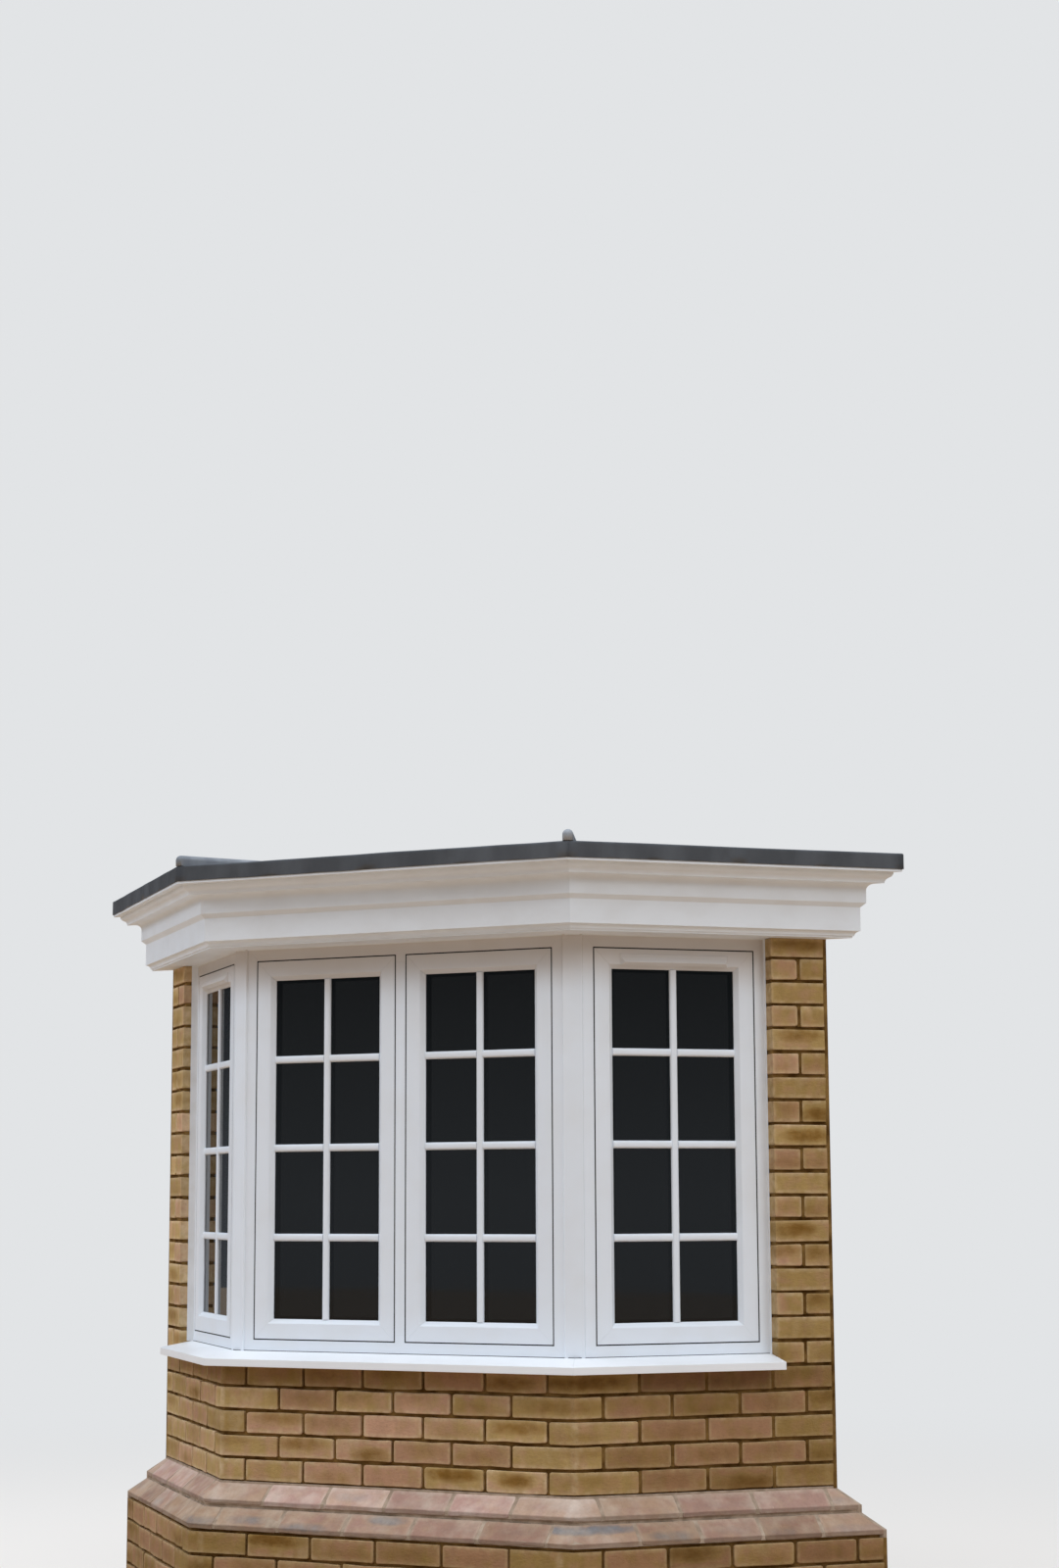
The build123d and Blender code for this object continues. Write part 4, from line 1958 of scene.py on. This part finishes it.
@dataclass(frozen=True)
class Studio:
    """Pale floor, soft lamps and the photograph's camera."""

    camera_place: tuple[float, float, float] = (4.2013, -7.8670, 1.4212)
    yaw: float = -0.4518
    pitch: float = 0.1500
    roll: float = -0.0046
    focal_pixels: float = 2778.2
    picture_height: float = 1600.0
    sensor: float = 36.0
    farthest: float = 200.0
    floor_size: float = 60.0
    floor_roughness: float = 0.9
    fade: Span = (2.5, 10.0)
    horizon: float = 0.12
    zenith: float = 1.5
    sky: str = "E9F1FC"
    floor_seen: str = "EAE2D8"
    floor_bounce: str = "B59D84"
    backdrop: str = "E2E4E6"
    mirrored: str = "D3DDEA"
    low_rise: float = 0.09
    low_sheen: Span = (0.5, 0.12)
    behind: Span = (0.1, 0.5)
    behind_sheen: float = 0.35
    high_rise: float = 0.2
    aim: tuple[float, float, float] = (0, 0, 1.3)
    lamps: tuple[Lamp, ...] = (
        Lamp("key", (1.4, -5.6, 9.6), 4.0, 185),
        Lamp("left_fill", (-7.2, -2.2, 5.4), 3.0, 180, "EAF1FC"),
        Lamp("right_fill", (7.6, -1.8, 5.8), 3.0, 105),
    )

    def camera(self) -> None:
        """The camera, at the place worked out from the photograph."""
        data = bpy.data.cameras.new("camera")
        data.sensor_width = self.sensor
        data.lens = self.focal_pixels / self.picture_height * self.sensor
        data.clip_end = self.farthest
        camera = bpy.data.objects.new("camera", data)
        bpy.context.scene.collection.objects.link(camera)
        ahead = Vector((math.sin(self.yaw) * math.cos(self.pitch),
                        math.cos(self.yaw) * math.cos(self.pitch), math.sin(self.pitch)))
        level = Vector((math.cos(self.yaw), -math.sin(self.yaw), 0))
        upright = level.cross(ahead)
        right = math.cos(self.roll) * level + math.sin(self.roll) * upright
        up = -math.sin(self.roll) * level + math.cos(self.roll) * upright
        turn = Matrix((right, up, -ahead)).transposed().to_4x4()
        camera.matrix_world = Matrix.Translation(self.camera_place) @ turn
        bpy.context.scene.camera = camera

    def floor(self) -> None:
        """A pale floor under the bay, that fades into the backdrop far from it."""
        bm = bmesh.new()
        bmesh.ops.create_grid(bm, x_segments=1, y_segments=1, size=self.floor_size / 2)
        mesh = bpy.data.meshes.new("floor")
        bm.to_mesh(mesh)
        bm.free()
        floor = bpy.data.objects.new("floor", mesh)
        bpy.context.scene.collection.objects.link(floor)
        material = bpy.data.materials.new("pale_floor")
        material.use_nodes = True
        nodes = NodeWork(material.node_tree)
        shader = nodes.tree.nodes["Principled BSDF"]
        seen = nodes.add(Node.RAY)
        colour = nodes.add(Node.BLEND, seen, srgb(self.floor_bounce), srgb(self.floor_seen))
        nodes.connect(shader, {"Base Color": colour, "Roughness": self.floor_roughness})
        reach = nodes.add(Node.LENGTH, nodes.add(Node.PLACE))
        far = nodes.add(Node.MULTIPLY, seen, nodes.add(Node.SOFT_RANGE, reach, *self.fade))
        haze = nodes.add(Node.GLOW, srgb(self.backdrop))
        mix = nodes.add(Node.MIX_SHADERS, far, shader.outputs[0], haze)
        nodes.connect(nodes.tree.nodes["Material Output"], {"Surface": mix})
        mesh.materials.append(material)

    def world(self) -> None:
        """A soft sky, brighter overhead, that shows pale behind the bay and in its glass."""
        world = bpy.data.worlds.new("studio")
        world.use_nodes = True
        bpy.context.scene.world = world
        world.node_tree.nodes.clear()
        nodes = NodeWork(world.node_tree)
        add = nodes.add
        camera_ray = add(Node.RAY)
        path = camera_ray.node.outputs
        seen = add(Node.MAXIMUM, camera_ray, path["Is Transmission Ray"])
        _, back, rise = add(Node.SPLIT_PLACE, add(Node.DIRECTION)).node.outputs
        strength = add(Node.RANGE, rise, 0.0, 1.0, self.horizon, self.zenith)
        light = add(Node.SKY, srgb(self.sky), strength)
        near = add(Node.MULTIPLY, add(Node.RANGE, rise, 0.0, self.low_rise, *self.low_sheen),
                   add(Node.RANGE, back, *self.behind, 1.0, self.behind_sheen))
        over = add(Node.RANGE, rise, self.high_rise, 1.0, 0.0, self.zenith)
        sheen = add(Node.SKY, srgb(self.mirrored), add(Node.ADD, near, over))
        shown = add(Node.SKY, srgb(self.backdrop), 1.0)
        mirror = add(Node.MIX_SHADERS, path["Is Glossy Ray"], light, sheen)
        mix = add(Node.MIX_SHADERS, seen, mirror, shown)
        nodes.connect(nodes.tree.nodes.new("ShaderNodeOutputWorld"), {"Surface": mix})

    def build(self) -> None:
        """Sets up the whole studio."""
        bpy.context.scene.view_settings.view_transform = "Standard"
        self.camera()
        self.floor()
        for lamp in self.lamps:
            lamp.build(Vector(self.aim))
        self.world()


# The bay


def chamfer_rise(front: SideFrame) -> float:
    """Height of a plinth course's slope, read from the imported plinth: the lowest slope's.

    Args:
        front: the axes of the front.

    Returns:
        The height.
    """
    places = [v.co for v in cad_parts["plinth_front"].data.vertices]
    heights = [place.z for place in places]
    widest = max(front.out_of(place) for place in places)
    noses = [place.z for place in places if front.out_of(place) > widest - WELD_DISTANCE]
    return (min(heights) + max(heights)) / 2 - max(noses)


def brick_walls(plan: BayPlan) -> list[Brickwork]:
    """The five bands of brickwork, from the ground up.

    Args:
        plan: the bay's plan.

    Returns:
        The bands, not yet laid.
    """
    front, gauge = plan.side(Side.FRONT), Gauge()
    lower_low, lower_high = front.extent("lower_wall_front")
    plinth_low, plinth_high = front.extent("plinth_front")
    upper_low, upper_high = front.extent("upper_wall_front")
    pier_low, pier_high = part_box("brick_piers")
    _, frame_high = plan.side(Side.RIGHT).extent("window_frame_right")
    lower_nodes, plinth_nodes, upper_nodes = (
        tuple(f"{wall}_{side.label}" for side in Side)
        for wall in ("lower_wall", "plinth", "upper_wall"))
    depth, step = upper_high.y - upper_low.y, plinth_high.y / 2
    rise = chamfer_rise(front) - (gauge.course - gauge.plinth_course)
    bed = plinth_low.z - gauge.plinth_drop
    middle, top = bed + gauge.plinth_course, bed + 2 * gauge.plinth_course
    return [
        Brickwork("lower", plan, YELLOW_BRICK, WALL_MORTAR, lower_high.y,
                  lower_high.y - lower_low.y, lower_low.z, bed, lower_nodes,
                  sunk=gauge.plinth_drop, brightness=0.7, yellowness=0.5, right_shade=0.86,
                  core_high=gauge.joint, seed=11),
        Brickwork("plinth_lower", plan, PLINTH_BRICK, PLINTH_MORTAR, plinth_high.y,
                  plinth_high.y + depth, bed, middle, plinth_nodes, first_long=False,
                  chamfer=step, rise=rise, brightness=0.8, right_shade=0.94, kissing=2.3,
                  core_low=gauge.joint, seed=23),
        # The upper plinth course is set lighter than the lower one: painted light on its sky-facing
        # slope.
        Brickwork("plinth_upper", plan, PLINTH_BRICK, PLINTH_MORTAR, step, step + depth,
                  middle, top, (), chamfer=step, rise=rise, brightness=0.99, right_shade=0.86,
                  kissing=0.3, flush_top=True, seed=31),
        Brickwork("upper", plan, YELLOW_BRICK, WALL_MORTAR, 0.0, depth, top, upper_high.z,
                  upper_nodes, first_long=False, brightness=0.93, right_shade=0.69,
                  top_shade=0.74, pointed=(Side.RIGHT,), seed=47),
        Brickwork("pier", plan, YELLOW_BRICK, WALL_MORTAR, 0.0, depth, pier_low.z, pier_high.z,
                  ("brick_piers",), sunk=plinth_high.z - top, jamb=frame_high.x,
                  left_shade=1.02, right_shade=0.84, pointed=(Side.RIGHT,), seed=59),
    ]


def casements(plan: BayPlan) -> list[Casement]:
    """The four opening sashes.

    Args:
        plan: the bay's plan.

    Returns:
        The sashes, not yet made.
    """
    return [Casement(f"casement_{place}", f"sash_{place}", side, plan, handle_at_end)
            for place, side, handle_at_end in (
                ("front_left", Side.FRONT, True), ("front_right", Side.FRONT, False),
                ("splay_left", Side.LEFT, False), ("splay_right", Side.RIGHT, False))]


def room_side() -> list[EasedPiece]:
    """What shows through the open back, and the painted cornice.

    Returns:
        The pieces, not yet made.
    """
    pieces = [
        EasedPiece("floor_slab", CONCRETE, 3 * MM),
        EasedPiece("window_board", BOARD_PAINT, 4 * MM, 3),
        EasedPiece("ceiling_board", PLASTER, 1 * MM),
        EasedPiece("jamb_linings", PLASTER, 1 * MM),
        EasedPiece("wall_ledger", TIMBER, 1.5 * MM),
        EasedPiece("roof_joists", TIMBER, 1.5 * MM),
        EasedPiece("roof_deck", TIMBER, 1 * MM),
        EasedPiece("glass_front", GLASS, 0.5 * MM, 1),
        EasedPiece("glass_splays", GLASS, 0.5 * MM, 1),
    ]
    for side in Side:
        pieces += [EasedPiece(f"inner_leaf_{side.label}", PLASTER, 1.5 * MM),
                   EasedPiece(f"head_beam_{side.label}", TIMBER, 1.5 * MM),
                   EasedPiece(f"cornice_{side.label}", CORNICE_PAINT, 1 * MM, 3)]
    return pieces


def main() -> None:
    """Builds the bay from the ground up, then the studio."""
    logging.basicConfig(level=logging.INFO, format="%(message)s")
    plan = BayPlan.from_frame()
    for wall in brick_walls(plan):
        wall.build()
    WindowFrames(plan).build()
    for casement in casements(plan):
        casement.build()
    for piece in room_side():
        piece.build()
    LeadRoof(plan).build()
    Studio().build()


if __name__ == "__main__":
    main()
